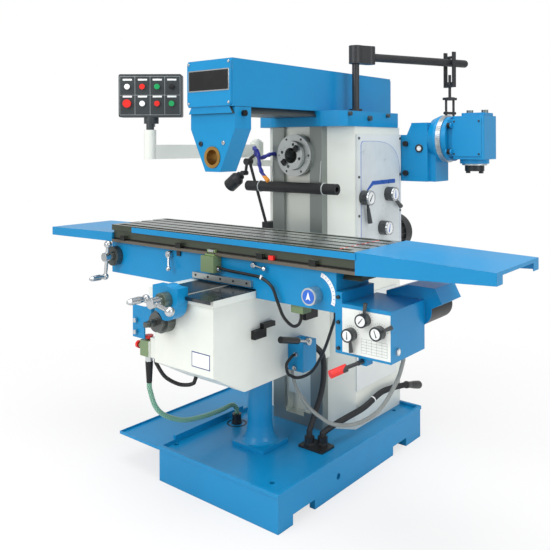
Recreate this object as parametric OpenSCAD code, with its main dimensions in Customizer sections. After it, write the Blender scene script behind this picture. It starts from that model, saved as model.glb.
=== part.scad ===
// Universal knee milling machine with an overarm, a parked vertical head and a jib crane.
// The frame has X along the table, Y from the operator to the column and Z up. X is zero in the
// plane of the spindle, Y is zero at the spindle nose and Z is zero on the floor.

/* [Foundation base] */
// From the spindle plane to the left edge
base_left = 290; // [288:1:330]
// From the spindle plane to the right edge
base_right = 354; // [330:1:400]
// From the spindle nose to the front edge
base_front = 528; // [500:1:600]
// From the spindle nose to the rear edge
base_rear = 552; // [550:1:620]
// Height of the body under the rim
base_h = 138; // [110:1:170]
// Height that the rim adds
rim_h = 8; // [4:1:14]
// Width of the rim
rim_w = 14; // [10:1:16]
// Thickness of the cast walls
base_wall = 26; // [18:1:30]
// Distance between the foundation bolts across the machine
anchor_dx = 524; // [515:1:530]
// Distance between the foundation bolts from front to rear
anchor_dy = 900; // [860:1:930]
// Diameter of the foundation bolt holes
anchor_d = 22; // [16:1:24]
// Height of the slots for lifting forks
fork_h = 38; // [25:1:60]

/* [Column] */
// Half width of the body
col_half = 244; // [225:1:246]
// From the spindle nose to the face of the knee ways
way_y = 44; // [40:1:60]
// From the spindle nose to the rear face
col_rear = 545; // [500:1:548]
// Half width over the knee ways
way_half = 140; // [130:1:150]
// Width of each knee way
way_w = 66; // [50:1:80]
// Height of the spindle axis above the floor
spindle_z = 1344; // [1300:1:1400]
// From the spindle axis up to the top of the column
col_over = 129; // [120:1:150]
// Thickness of the cast walls
col_wall = 28; // [20:1:35]

/* [Spindle] */
// Diameter of the spindle nose
nose_d = 128.57; // [120:0.01:130]
// Diameter of the taper at the nose
taper_d = 69.85; // [60:0.01:75]
// Pitch circle of the cutter screws
nose_pcd = 101.6; // [96:0.1:105]
// Tapping diameter of the cutter screws
nose_hole_d = 14; // [10:0.5:16]
// Diameter of the bearing cover
cover_d = 190; // [180:1:210]

/* [Overarm] */
// Width of the overarm
arm_w = 242; // [220:1:250]
// Height of the overarm
arm_h = 184; // [160:1:200]
// From the spindle nose to the front end
arm_front = 517; // [480:1:560]
// From the spindle nose to the rear end
arm_rear = 681; // [660:1:700]
// Wall of the hollow casting
arm_wall = 22; // [16:1:30]
// Height of the seat on the column
seat_h = 68; // [60:1:80]
// Thickness of the arbor support
support_t = 93; // [80:1:110]
// From the spindle nose to the front face of the arbor support
support_front = 495; // [460:1:500]
// Bore of the bronze bush
bush_bore = 60; // [48:1:64]
// Outer diameter of the bronze bush
bush_d = 85; // [78:1:90]

/* [Knee] */
// Half width of the knee casting
knee_half = 160; // [150:1:170]
// From the spindle nose to the front face of the knee
knee_front = 655; // [620:1:680]
// Thickness of the top slab
slab_h = 31; // [25:1:40]
// Width that the slab overhangs on each side
slab_over = 15; // [8:1:20]
// Height of the knee casting under the slab
knee_h = 351; // [330:1:370]
// Diameter of the elevating screw
screw_d = 50; // [40:1:56]

/* [Saddle] */
// From the spindle plane to the left end of the saddle
saddle_left = 708; // [690:1:730]
// From the spindle plane to the right end of the saddle
saddle_right = 547; // [530:1:560]
// Height of the saddle above the knee
saddle_h = 111; // [100:1:125]
// From the spindle nose to the front face of the saddle
saddle_front = 440; // [430:1:450]
// Depth of the front beam of the saddle
beam_t = 96; // [80:1:110]

/* [Table] */
// Length of the table
table_l = 1319; // [1250:1:1330]
// Width of the table
table_w = 326; // [310:1:330]
// Thickness of the table
table_t = 79; // [70:1:90]
// Height of the table's top above the floor
table_z = 1030; // [1020:1:1040]
// From the spindle plane to the table's middle, to the left
table_shift = 23; // [0:1:40]
// From the spindle nose to the front face of the table
table_front = 461; // [455:1:470]
// Width of the T slots
tslot_w = 18; // [14:1:18]
// Distance between the T slots
tslot_pitch = 70; // [63:1:80]
// Length of the right side tray
tray_right_l = 490; // [400:1:520]
// Length of the left side tray
tray_left_l = 483; // [400:1:520]
// Thickness of the tray sheet
sheet_t = 3; // [2:0.5:4]

/* [Feed gearbox] */
// Width of the gearbox
box_w = 193; // [180:1:210]
// Depth of the gearbox
box_dy = 233; // [210:1:250]
// Height of the gearbox
box_h = 173; // [160:1:220]

/* [Crane] */
// Diameter of the crane tube
jib_d = 38; // [32:1:42]
// Length of the jib from its post
jib_l = 680; // [660:1:720]
// Turn of the jib from straight back towards the right
jib_turn = 22.5; // [15:0.5:30]
// From the post to the trolley
trolley_r = 565; // [540:1:600]

/* [Vertical head] */
// Diameter of the graduated swivel ring
ring_d = 225; // [210:1:230]
// Width of the head's gear case
head_w = 151; // [140:1:160]
// Depth of the head's gear case
head_dy = 160; // [150:1:170]
// Height of the head's gear case
head_h = 200; // [180:1:210]
// Height of the head's swivel axis above the floor
head_z = 1418; // [1400:1:1430]

/* [Pendant] */
// Width of the control panel
panel_w = 275; // [250:1:300]
// Height of the control panel
panel_h = 188; // [170:1:200]
// Depth of the control panel
panel_t = 62; // [50:1:75]
// Diameter of the push buttons
button_d = 24; // [20:1:28]

/* [Hidden] */
$fn = 64;
blue = [0.11, 0.50, 0.80];
cream = [0.90, 0.92, 0.88];
steel = [0.52, 0.55, 0.53];
bright = [0.75, 0.77, 0.78];
black = [0.12, 0.13, 0.14];
olive = [0.33, 0.42, 0.30];
bronze = [0.66, 0.50, 0.25];

// Overrun of every cut, running gap of sliding pieces and radial gap of turning ones.
cut = 1;
slip = 0.3;
run = 0.04;
// Gap between pieces of two bodies that pass each other.
gap = 1.5;

// Unit forms. Each range is a pair of lowest and highest values.
module block(x, y, z) {
  translate([x[0], y[0], z[0]]) cube([x[1] - x[0], y[1] - y[0], z[1] - z[0]]);
}
module rod_x(d, x, y, z) {
  translate([x[0], y, z]) rotate([0, 90, 0]) cylinder(d = d, h = x[1] - x[0]);
}
module rod_y(d, x, y, z) {
  translate([x, y[0], z]) rotate([-90, 0, 0]) cylinder(d = d, h = y[1] - y[0]);
}
module rod_z(d, x, y, z) {
  translate([x, y, z[0]]) cylinder(d = d, h = z[1] - z[0]);
}
// Outlines in XZ carried along Y, in YZ carried along X and in XY carried up Z.
module prism_y(outline, y) {
  translate([0, y[1], 0]) rotate([90, 0, 0]) linear_extrude(y[1] - y[0]) polygon(outline);
}
module prism_x(outline, x) {
  translate([x[0], 0, 0]) rotate([90, 0, 90]) linear_extrude(x[1] - x[0]) polygon(outline);
}
module prism_z(outline, z) {
  translate([0, 0, z[0]]) linear_extrude(z[1] - z[0]) polygon(outline);
}
// Rectangle with round corners, centred.
module round_rect(w, h, r) {
  square([w - 2 * r, h], center = true);
  square([w, h - 2 * r], center = true);
  for (sx = [-1, 1], sy = [-1, 1])
    translate([sx * (w / 2 - r), sy * (h / 2 - r)]) circle(r);
}
// Straight rod between two points.
module rod_between(a, b, d) {
  v = b - a;
  len = norm(v);
  translate(a) rotate([0, acos(v[2] / len), atan2(v[1], v[0])]) cylinder(d = d, h = len);
}
// Tube of a cord swept along its own points, with rings square to the route.
function unit(v) = v / norm(v);
function along(p, i) = unit(p[min(i + 1, len(p) - 1)] - p[max(i - 1, 0)]);
function side_of(t) = unit(cross(t, abs(t[2]) < 0.9 ? [0, 0, 1] : [1, 0, 0]));
module cord(p, d, sides = 8, waist = 1) {
  n = len(p);
  rings = [for (i = [0 : n - 1]) let (t = along(p, i), u = side_of(t), v = cross(t, u))
    for (k = [0 : sides - 1]) let (a = 360 * k / sides)
      p[i] + d / 2 * (i % 2 == 0 ? 1 : waist) * (u * cos(a) + v * sin(a))];
  skin = [for (i = [0 : n - 2], k = [0 : sides - 1]) let (j = (k + 1) % sides)
    each [[i * sides + k, (i + 1) * sides + k, (i + 1) * sides + j],
       [i * sides + k, (i + 1) * sides + j, i * sides + j]]];
  ends = [[for (k = [0 : sides - 1]) k],
      [for (k = [sides - 1 : -1 : 0]) (n - 1) * sides + k]];
  polyhedron(points = rings, faces = concat(skin, ends));
}
// Smooth route through hand chosen points, with a few steps for each span.
function spline_at(a, b, c, d, t) =
  0.5 * (2 * b + (c - a) * t + (2 * a - 5 * b + 4 * c - d) * t * t
  + (3 * b - a - 3 * c + d) * t * t * t);
function smooth(p, steps = 4) = concat([for (i = [0 : len(p) - 2], s = [0 : steps - 1])
  spline_at(p[max(i - 1, 0)], p[i], p[i + 1], p[min(i + 2, len(p) - 1)], s / steps)],
  [p[len(p) - 1]]);
// The same with straight ends, so that a cord meets its gland squarely.
function route(p) = concat([p[0]], smooth([for (i = [1 : len(p) - 2]) p[i]], 2), [p[len(p) - 1]]);

// Heights that follow from the driving ones.
deck_drop = 14;
rim_z = base_h + rim_h;
deck_z = rim_z - deck_drop;
col_z = spindle_z + col_over;
seat_z = col_z + seat_h;
arm_z = seat_z + slip;
table_low = table_z - table_t;
saddle_z = table_low - slip;
knee_z = saddle_z - saddle_h;
slab_low = knee_z - slab_h;
knee_low = slab_low - knee_h;
table_x0 = -table_shift - table_l / 2;
table_x1 = -table_shift + table_l / 2;
table_y = [-table_front, -table_front + table_w];

// Foundation base
rim_over = 4;
fork_front = [-437, -301];
fork_rear = [291, 410];
pocket_split = 60;
deck_rail_h = 16;
rail_share = [0.84, 0.03];
drain_d = 26;
drain_z_share = 0.46;
drain_y_share = 0.27;
module base_casting() {
  color(blue) difference() {
    union() {
      block([-base_left + rim_over, base_right - rim_over],
        [-base_front + rim_over, base_rear - rim_over], [0, base_h]);
      difference() {
        block([-base_left, base_right], [-base_front, base_rear],
          [base_h - rim_h, rim_z]);
        block([-base_left + rim_w, base_right - rim_w],
          [-base_front + rim_w, base_rear - rim_w], [deck_z, rim_z + cut]);
      }
      block([-base_left, -base_left + rim_w], [-base_front * rail_share[0],
        -base_front * rail_share[1]], [base_h, rim_z + deck_rail_h]);
    }
    block([-base_left + rim_w, base_right - rim_w],
      [-base_front + rim_w, base_rear - rim_w], [deck_z, rim_z + cut]);
    // Two hollows under the deck leave the anchor bosses and a cross rib.
    for (y = [[-anchor_dy / 2 + pocket_split, -pocket_split / 2],
         [pocket_split / 2, anchor_dy / 2 - pocket_split]])
      block([-base_left + base_wall + rim_over, base_right - base_wall - rim_over],
        y, [-cut, deck_z - base_wall]);
    // The column's foot stands in a notch of the rear rim.
    block([-col_half, col_half], [base_rear - rim_w - cut, col_rear], [deck_z, rim_z + cut]);
    for (y = [fork_front, fork_rear])
      block([-base_left - cut, base_right + cut], y, [-cut, fork_h]);
    for (sx = [-1, 1], sy = [-1, 1])
      rod_z(anchor_d, sx * anchor_dx / 2, sy * anchor_dy / 2, [-cut, rim_z]);
    rod_x(drain_d, [base_right - rim_over - base_wall / 2, base_right + cut],
      -base_front * drain_y_share, rim_z * drain_z_share);
  }
}

// Sheet that catches oil beside the base, with a folded edge.
tray_reach = 257;
tray_front = 525;
tray_rear = 205;
tray_edge = 12;
tray_sheet = 4;
module drip_tray() {
  x1 = -base_left;
  x0 = x1 - tray_reach;
  color(blue) difference() {
    block([x0, x1], [-tray_front, tray_rear], [base_h - tray_edge, base_h]);
    block([x0 + tray_sheet, x1 - tray_sheet], [-tray_front + tray_sheet,
      tray_rear - tray_sheet], [base_h - tray_edge + tray_sheet, base_h + cut]);
  }
}

// Flared pedestal that holds the nut of the elevating screw.
pedestal_y = -215;
pedestal_foot = 176;
pedestal_foot_h = 16;
pedestal_base_d = 164;
pedestal_neck_d = 104;
pedestal_top_d = 124;
pedestal_flare_h = 90;
pedestal_rise = 420;
nut_h = 60;
pedestal_top = deck_z + pedestal_rise;
module screw_pedestal() {
  r0 = pedestal_base_d / 2;
  r1 = pedestal_neck_d / 2;
  r2 = pedestal_top_d / 2;
  bore = screw_d / 2 + run;
  color(blue) difference() {
    union() {
      translate([0, pedestal_y, deck_z]) linear_extrude(pedestal_foot_h)
        round_rect(pedestal_foot, pedestal_foot, rim_w);
      translate([0, pedestal_y, deck_z + pedestal_foot_h]) rotate_extrude()
        polygon(concat([[0, 0], [r0, 0]],
          [for (a = [0 : 15 : 90]) [r1 + (r0 - r1) * (1 - sin(a)),
            pedestal_flare_h * (1 - cos(a))]],
          [[r1, pedestal_rise - pedestal_foot_h - nut_h],
          [r2, pedestal_rise - pedestal_foot_h - nut_h],
          [r2, pedestal_rise - pedestal_foot_h],
          [0, pedestal_rise - pedestal_foot_h]]));
    }
    rod_z(2 * bore, 0, pedestal_y, [deck_z + base_wall, pedestal_top + cut]);
  }
}

// Column casting: hollow, with ground ways in front and two covered openings.
flare_y = 84;
flare_end = 150;
recess_d = 16;
wall_front = 80;
front_bearing_d = 150;
rear_bearing_d = 120;
hatch_x = [-66, 36];
hatch_z = [172, 258];
hatch_depth = 60;
door_y = [130, 500];
door_z = [300, 720];
door_lap = 18;
plate_y = [152, 541];
plate_z = [880, 1437];
plate_lap = 24;
cover_t = 11;
motor_inset = 151;
motor_x = col_half - motor_inset;
motor_z = 938;
motor_d = 188;
motor_hole_d = 90;
col_plan = [[-way_half, way_y], [way_half, way_y], [way_half, flare_y],
  [col_half, flare_end], [col_half, col_rear], [-col_half, col_rear],
  [-col_half, flare_end], [-way_half, flare_y]];
module column_casting() {
  hx = way_half - way_w;
  in_y = way_y + wall_front;
  lug_z = [arm_pivot_z[0] - pivot_lug_t, arm_pivot_z[0] - slip];
  color(cream) difference() {
    union() {
      prism_z(col_plan, [deck_z, col_z]);
      // Bracket and pin that carry the pendant.
      rod_z(arm_pivot_d, arm_pivot[0], arm_pivot[1], lug_z);
      block([arm_pivot[0], -way_half], [arm_pivot[1] - pivot_rib / 2,
        arm_pivot[1] + pivot_rib / 2], lug_z);
      rod_z(shaft_d, arm_pivot[0], arm_pivot[1], [lug_z[0], arm_pivot_z[1] + rim_w]);
      rod_z(arm_pivot_d * 0.75, arm_pivot[0], arm_pivot[1],
        [arm_pivot_z[1] + slip, arm_pivot_z[1] + rim_h]);
    }
    block([-hx, hx], [way_y - cut, way_y + recess_d], [deck_z + pocket_split, col_z + cut]);
    // The hollow of the casting, closed by the foot and the top wall.
    prism_z([[-way_half, in_y], [way_half, in_y],
      [col_half - col_wall, flare_end + col_wall], [col_half - col_wall, col_rear - col_wall],
      [-col_half + col_wall, col_rear - col_wall],
      [-col_half + col_wall, flare_end + col_wall]],
      [deck_z + col_wall, col_z - col_wall]);
    rod_y(front_bearing_d, 0, [way_y - cut, in_y + cut], spindle_z);
    rod_y(rear_bearing_d, 0, [col_rear - col_wall - cut, col_rear + cut], spindle_z);
    rod_y(motor_hole_d, motor_x, [col_rear - col_wall - cut, col_rear + cut], motor_z);
    block(hatch_x, [way_y, way_y + hatch_depth], hatch_z);
    block([col_half - col_wall - cut, col_half + cut],
      [door_y[0] + door_lap + flare_end - door_y[0], door_y[1] - door_lap],
      [door_z[0] + door_lap, door_z[1] - door_lap]);
    block([col_half - col_wall - cut, col_half + cut],
      [plate_y[0] + plate_lap, plate_y[1] - plate_lap],
      [plate_z[0] + plate_lap, plate_z[1] - plate_lap]);
  }
}

// Speed change plate and the door under it, both screwed to the right side.
dial_y_share = [0.118, 0.671, 0.527];
dial_z_share = [0.494, 0.503, 0.228];
dial_pin_d = 16;
dial_y = [for (s = dial_y_share) plate_y[0] + s * (plate_y[1] - plate_y[0])];
dial_z = [for (s = dial_z_share) plate_z[0] + s * (plate_z[1] - plate_z[0])];
cover_x = col_half + cover_t;
plate_screw_d = 12;
plate_screw_h = 4;
module column_covers() {
  color(cream) {
    difference() {
      block([col_half, cover_x], plate_y, plate_z);
      for (i = [0 : 2])
        rod_x(dial_pin_d + 2 * run, [col_half - cut, cover_x + cut], dial_y[i], dial_z[i]);
    }
    for (y = [plate_y[0] + plate_lap / 2, plate_y[1] - plate_lap / 2],
        s = [0.02, 0.35, 0.66, 0.97])
      rod_x(plate_screw_d, [cover_x, cover_x + plate_screw_h], y,
        plate_z[0] + s * (plate_z[1] - plate_z[0]));
    block([col_half, col_half + cover_t / 2], [flare_end, door_y[1]], door_z);
  }
}

// Seat of the overarm, with the dovetail groove and clamp sides.
seat_side_x = 250;
seat_front = 34;
seat_side_y = 58;
seat_rear = 522;
seat_chamfer = 26;
groove_deep = 26;
dove_half = 104;
dove_flare = 15;
clamp_half = 122;
seat_bolt_d = 24;
seat_bolt_h = 14;
module dovetail(half, flare, z, y) {
  prism_y([[-half, z[1]], [half, z[1]], [half + flare, z[0]], [-half - flare, z[0]]], y);
}
module overarm_seat() {
  z0 = seat_z - groove_deep;
  color(blue) {
    difference() {
      prism_z([[-way_half, seat_front], [way_half, seat_front],
        [seat_side_x - seat_chamfer, seat_side_y], [seat_side_x, seat_side_y + seat_chamfer],
        [seat_side_x, seat_rear], [-seat_side_x, seat_rear],
        [-seat_side_x, seat_side_y + seat_chamfer],
        [-seat_side_x + seat_chamfer, seat_side_y]], [col_z, seat_z]);
      dovetail(dove_half + slip, dove_flare, [z0 - slip, seat_z + cut],
        [seat_front - cut, seat_rear + cut]);
    }
    rod_x(seat_bolt_d, [seat_side_x, seat_side_x + seat_bolt_h],
      seat_rear * 0.49, col_z + seat_h * 0.55);
    for (y = [seat_rear * 0.18, seat_rear * 0.8])
      rod_x(seat_bolt_d * 0.8, [seat_side_x, seat_side_x + seat_bolt_h],
        y, col_z + seat_h * 0.8);
  }
}

// Front bearing with its screwed cover, and the rear bearing.
cover_y = 22;
front_shaft_d = 90;
rear_shaft_d = 70;
bearing_w = 44;
cover_screws = 6;
cover_screw_pcd = 165;
cover_screw_d = 11;
module spindle_bearings() {
  color(steel) {
    difference() {
      rod_y(cover_d, 0, [cover_y, way_y], spindle_z);
      rod_y(nose_d + 2 * gap, 0, [cover_y - cut, way_y + cut], spindle_z);
      for (i = [0 : cover_screws - 1])
        translate([0, 0, spindle_z]) rotate([0, i * 360 / cover_screws, 0])
          rod_y(cover_screw_d, cover_screw_pcd / 2, [cover_y - cut, cover_y + cover_t], 0);
    }
    difference() {
      rod_y(front_bearing_d, 0, [way_y + wall_front - bearing_w, way_y + wall_front],
        spindle_z);
      rod_y(front_shaft_d + 2 * run, 0, [way_y, way_y + wall_front + cut], spindle_z);
    }
    difference() {
      rod_y(rear_bearing_d, 0, [col_rear - col_wall, col_rear], spindle_z);
      rod_y(rear_shaft_d + 2 * run, 0, [col_rear - col_wall - cut, col_rear + cut],
        spindle_z);
    }
  }
}

// Spindle with its nose, taper, drive keys, drawbar hole and bull gear.
shaft_rear = 560;
nose_l = 20;
nose_step = 2.57;
taper_l = 103.7;
taper_ratio = 7 / 24;
pilot_l = 22;
drawbar_d = 26;
gear_teeth = 32;
gear_d = 190;
gear_y = [250, 300];
key_w = 25;
key_l = 22;
key_turn = -42;
nose_hole_l = 30;
tooth_h = 11;
module machine_spindle() {
  neck_y = way_y + wall_front - bearing_w - gap;
  color(steel) difference() {
    union() {
      rod_y(nose_d, 0, [0, nose_l], spindle_z);
      rod_y(nose_d - nose_step, 0, [0, neck_y], spindle_z);
      rod_y(front_shaft_d, 0, [0, col_rear - col_wall - gap], spindle_z);
      rod_y(rear_shaft_d, 0, [0, shaft_rear], spindle_z);
      translate([0, gear_y[1], spindle_z]) rotate([90, 0, 0])
        linear_extrude(gear_y[1] - gear_y[0]) {
          circle(d = gear_d - 2 * tooth_h);
          for (i = [0 : gear_teeth - 1]) rotate(i * 360 / gear_teeth)
            translate([gear_d / 2 - 2 * tooth_h, -tooth_h / 2])
              square([2 * tooth_h, tooth_h]);
        }
      for (s = [-1, 1]) translate([0, 0, spindle_z]) rotate([0, key_turn, 0])
        translate([s * (taper_d / 2 + key_l / 2), 0, 0])
          block([-key_l / 2, key_l / 2], [-key_l / 2, 0], [-key_w / 2, key_w / 2]);
    }
    // Steep taper, seven in twenty four on the diameter, with its pilot bore.
    translate([0, 0, spindle_z]) rotate([-90, 0, 0]) rotate_extrude()
      polygon([[0, -cut], [taper_d / 2 + cut * taper_ratio / 2, -cut],
        [taper_d / 2 - taper_l * taper_ratio / 2, taper_l],
        [taper_d / 2 - taper_l * taper_ratio / 2, taper_l + pilot_l],
        [0, taper_l + pilot_l]]);
    rod_y(drawbar_d, 0, [0, shaft_rear + cut], spindle_z);
    for (i = [0 : 3]) translate([0, 0, spindle_z]) rotate([0, -74 + 90 * i, 0])
      rod_y(nose_hole_d, nose_pcd / 2, [-cut, nose_hole_l], 0);
  }
}

// Flange motor behind the column, with cooling ribs and a fan cowl.
motor_l = 235;
motor_flange_t = 18;
motor_ribs = 20;
rib_h = 10;
cowl_l = 62;
motor_box = [70, 90, 46];
module main_motor() {
  y0 = col_rear;
  y1 = y0 + motor_l;
  core = motor_d - 2 * rib_h;
  color(black) {
    rod_y(motor_d, motor_x, [y0, y0 + motor_flange_t], motor_z);
    rod_y(core, motor_x, [y0 + motor_flange_t, y1], motor_z);
    translate([motor_x, y1 - cowl_l, motor_z]) rotate([90, 0, 0])
      linear_extrude(motor_l - cowl_l - motor_flange_t)
        for (i = [0 : motor_ribs - 1]) rotate(i * 360 / motor_ribs)
          translate([core / 2 - rib_h / 2, -rib_h / 6]) square([rib_h * 1.3, rib_h / 3]);
    rod_y(motor_d, motor_x, [y1 - cowl_l, y1], motor_z);
    block([motor_x - motor_box[0] / 2, motor_x + motor_box[0] / 2],
      [y0 + motor_flange_t + rib_h, y0 + motor_flange_t + rib_h + motor_box[1]],
      [motor_z + core / 2 - rib_h, motor_z + core / 2 + motor_box[2]]);
  }
}

// Bracket that carries the parked vertical head beside the column.
bracket_flange_x = 309;
bracket_x1 = 393;
bracket_y = [552, 700];
bracket_z = [1215, 1509];
bracket_bolt_z = [1395, 1254];
wedge_w = 24;
wedge_h = 52;
head_y = 643;
ring_x = [440, 462];
flange_z1 = 1438;
bracket_bolt_d = 26;
bracket_bolt_h = 16;
plug_d = 56;
module head_bracket() {
  back = col_rear;
  boss_x = ring_x[0];
  color(blue) {
    block([col_half - door_lap * 3, bracket_flange_x], [back, bracket_y[1] - pocket_split],
      [bracket_z[0], flange_z1]);
    prism_y([[bracket_flange_x - wedge_w, flange_z1 - cut], [bracket_flange_x + cut,
      flange_z1 - cut], [bracket_flange_x + cut, flange_z1 + wedge_h]],
      [back, bracket_y[1] - pocket_split]);
    difference() {
      union() {
        block([bracket_flange_x, bracket_x1], [bracket_y[0] - seat_bolt_h / 2, bracket_y[1]],
          [bracket_z[0], bracket_z[1] - rim_w]);
        hull() {
          rod_x(ring_d, [boss_x - rim_w, boss_x], head_y, head_z);
          rod_x(ring_d - 2 * rim_w, [bracket_x1 - cut, boss_x], head_y, head_z);
        }
        block([bracket_x1 - cut, boss_x - rim_w], [bracket_y[0] + rim_w, bracket_y[1]],
          [bracket_z[0], head_z]);
      }
      rod_y(plug_d * 0.7, (bracket_flange_x + bracket_x1) / 2,
        [bracket_y[0] - seat_bolt_h, bracket_y[0]], head_z - plug_d * 0.8);
    }
    for (z = bracket_bolt_z)
      rod_y(bracket_bolt_d, (cover_x + bracket_flange_x) / 2,
        [back - bracket_bolt_h, back], z);
  }
  color(bright) rod_x(ring_d, ring_x, head_y, head_z);
}

// Post of the jib crane, stepped into the seat.
post_x = 185;
post_y = 250;
post_d = 33;
post_foot_d = 60;
post_rise = 304;
post_top = seat_z + post_rise;
knuckle_h = 82;
knuckle_z0 = post_top - knuckle_h;
module fixed_posts() {
  crane_post();
  lamp_bar();
}
module crane_post() {
  color(black) {
    rod_z(post_foot_d, post_x, post_y, [seat_z, seat_z + rim_w]);
    rod_z(post_d, post_x, post_y, [seat_z + rim_w, post_top - rim_w]);
  }
}

// Rubber way cover, rolled up in front of the ways and tied with wire.
roll_x = [-269, 241];
roll_y = 15;
roll_z = 1200;
roll_d = 48;
roll_bore = 24;
tie_x = [-190, 172];
tie_d = 3;
tie_rise = 120;
module way_cover_roll() {
  color(black) difference() {
    rod_x(roll_d, roll_x, roll_y, roll_z);
    rod_x(roll_bore, [roll_x[0] - cut, roll_x[1] + cut], roll_y, roll_z);
  }
  color(bright) {
    for (x = tie_x) difference() {
      rod_x(roll_d + 2 * tie_d, [x, x + tie_d], roll_y, roll_z);
      rod_x(roll_d, [x - cut, x + tie_d + cut], roll_y, roll_z);
    }
    for (s = [-1, 1]) rod_between([s * (way_half - tie_d), way_y - tie_d / 2, roll_z + tie_rise],
      [s * (way_half - tie_d), roll_y + roll_d / 3, roll_z + roll_d / 3], tie_d);
  }
}

// Jointed coolant hose: a row of beads from the column to an orange nozzle.
bead_d = 21;
hose_p = [[-128, 44, 1350], [-128, 20, 1350], [-140, 0, 1342], [-165, -8, 1332],
  [-188, -10, 1340], [-200, -12, 1362], [-196, -22, 1380], [-180, -34, 1372],
  [-163, -34, 1358], [-158, -34, 1323], [-151, -34, 1288], [-136, -34, 1260]];
nozzle_tip = [-103, -34, 1228];
module coolant_hose() {
  color([0.10, 0.13, 0.42])
    cord(route(concat(hose_p, [nozzle_tip])), bead_d, 12, 0.72);
}

// Cable plate, hose fitting and clips on the deck.
cable_plate = [126, 92, 8];
cable_plate_x = 210;
cable_plate_y = -100;
gland_share = [[-0.17, -0.20], [0.17, 0.17]];
hose_fit = [-214, -128];
hose_fit_d = 42;
hose_fit_h = 44;
module deck_fittings() {
  color(black) {
    translate([cable_plate_x, cable_plate_y, deck_z]) linear_extrude(cable_plate[2])
      round_rect(cable_plate[0], cable_plate[1], cable_plate[2]);
    for (s = gland_share) rod_z(hose_fit_d, cable_plate_x + s[0] * cable_plate[0],
      cable_plate_y + s[1] * cable_plate[1],
      [deck_z + cable_plate[2], deck_z + hose_fit_h]);
    rod_z(hose_fit_d, hose_fit[0], hose_fit[1], [deck_z, deck_z + hose_fit_h]);
  }
}

// Lamp: a clamped bar with a swinging arm and a tilting shade.
lamp_foot = [-209, 80, 1009];
lamp_elbow = [-272, 30, 1313];
lamp_neck = [-281, 12, 1259];
lamp_stub = [-216, 12, 1350];
lamp_bar_d = 14;
lamp_knob_d = 32;
lamp_knob_t = 18;
lamp_foot_w = 34;
shade_d = 66;
shade_l = 78;
module lamp_bar() {
  color(black) {
    difference() {
      block([lamp_foot[0] - lamp_foot_w / 2, lamp_foot[0] + lamp_foot_w / 2],
        [lamp_foot[1] - lamp_bar_d, flare_end],
        [lamp_foot[2] - lamp_foot_w / 2, lamp_foot[2] + lamp_foot_w / 2]);
      // The clamp's rear face lies on the column's slanted side.
      prism_z([[-way_half, flare_y], [-col_half, flare_end], [-way_half, flare_end]],
        [lamp_foot[2] - lamp_foot_w, lamp_foot[2] + lamp_foot_w]);
    }
    rod_between(lamp_elbow, lamp_foot, lamp_bar_d);
    rod_y(lamp_knob_d, lamp_elbow[0], [lamp_elbow[1] - lamp_knob_t / 2,
      lamp_elbow[1] + lamp_knob_t / 2], lamp_elbow[2]);
  }
}
module lamp_arm() {
  y = lamp_elbow[1] - lamp_knob_t - slip;
  color(black) {
    rod_y(lamp_knob_d, lamp_elbow[0], [y - lamp_knob_t / 2, y + lamp_knob_t / 2], lamp_elbow[2]);
    rod_between([lamp_stub[0], y, lamp_stub[2]], [lamp_elbow[0], y, lamp_elbow[2]], lamp_bar_d);
    rod_between([lamp_elbow[0], y, lamp_elbow[2]], [lamp_neck[0], y, lamp_neck[2]], lamp_bar_d);
    rod_y(lamp_bar_d * 1.6, lamp_neck[0], [y - lamp_knob_t / 2, y + lamp_knob_t / 2],
      lamp_neck[2]);
  }
}
shade_tilt = [0, 54, 0];
module lamp_head() {
  y = lamp_elbow[1] - 2 * lamp_knob_t - 2 * slip;
  color(black) {
    rod_y(lamp_bar_d * 1.6, lamp_neck[0], [y - lamp_knob_t / 2, y + lamp_knob_t / 2],
      lamp_neck[2]);
    translate([lamp_neck[0], y, lamp_neck[2]]) rotate(shade_tilt) {
      translate([0, 0, -2 * lamp_bar_d]) cylinder(d = lamp_bar_d * 0.9, h = 2 * lamp_bar_d);
      translate([0, 0, -shade_l - 2 * lamp_bar_d]) difference() {
        rotate_extrude() polygon([[0, 0], [shade_d / 2, 0], [shade_d / 2, shade_l * 0.78],
          [shade_d * 0.32, shade_l], [shade_d * 0.32, shade_l + lamp_bar_d * 0.6],
          [0, shade_l + lamp_bar_d * 0.6]]);
        translate([0, 0, -cut]) rotate_extrude() polygon([[0, 0],
          [shade_d / 2 - sheet_t, 0], [shade_d / 2 - sheet_t, shade_l * 0.62],
          [shade_d * 0.3, shade_l * 0.78], [0, shade_l * 0.78]]);
      }
    }
  }
}

// Overarm: a long hollow box with end plates and a dovetail under it.
end_plate_t = 8;
module overarm_beam() {
  h = arm_w / 2;
  z1 = arm_z + arm_h;
  color(blue) {
    difference() {
      union() {
        block([-h, h], [-arm_front + end_plate_t, arm_rear - end_plate_t], [arm_z, z1]);
        dovetail(dove_half, dove_flare, [seat_z - groove_deep, arm_z + cut],
          [-arm_front + end_plate_t, arm_rear - end_plate_t]);
      }
      block([-h + arm_wall, h - arm_wall], [-arm_front, arm_rear],
        [arm_z + arm_wall, z1 - arm_wall]);
    }
    for (y = [[-arm_front, -arm_front + end_plate_t], [arm_rear - end_plate_t, arm_rear]])
      translate([0, y[1], arm_z + arm_h / 2]) rotate([90, 0, 0])
        linear_extrude(end_plate_t) round_rect(arm_w - rim_over, arm_h - rim_over, rim_w);
  }
}

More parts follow.
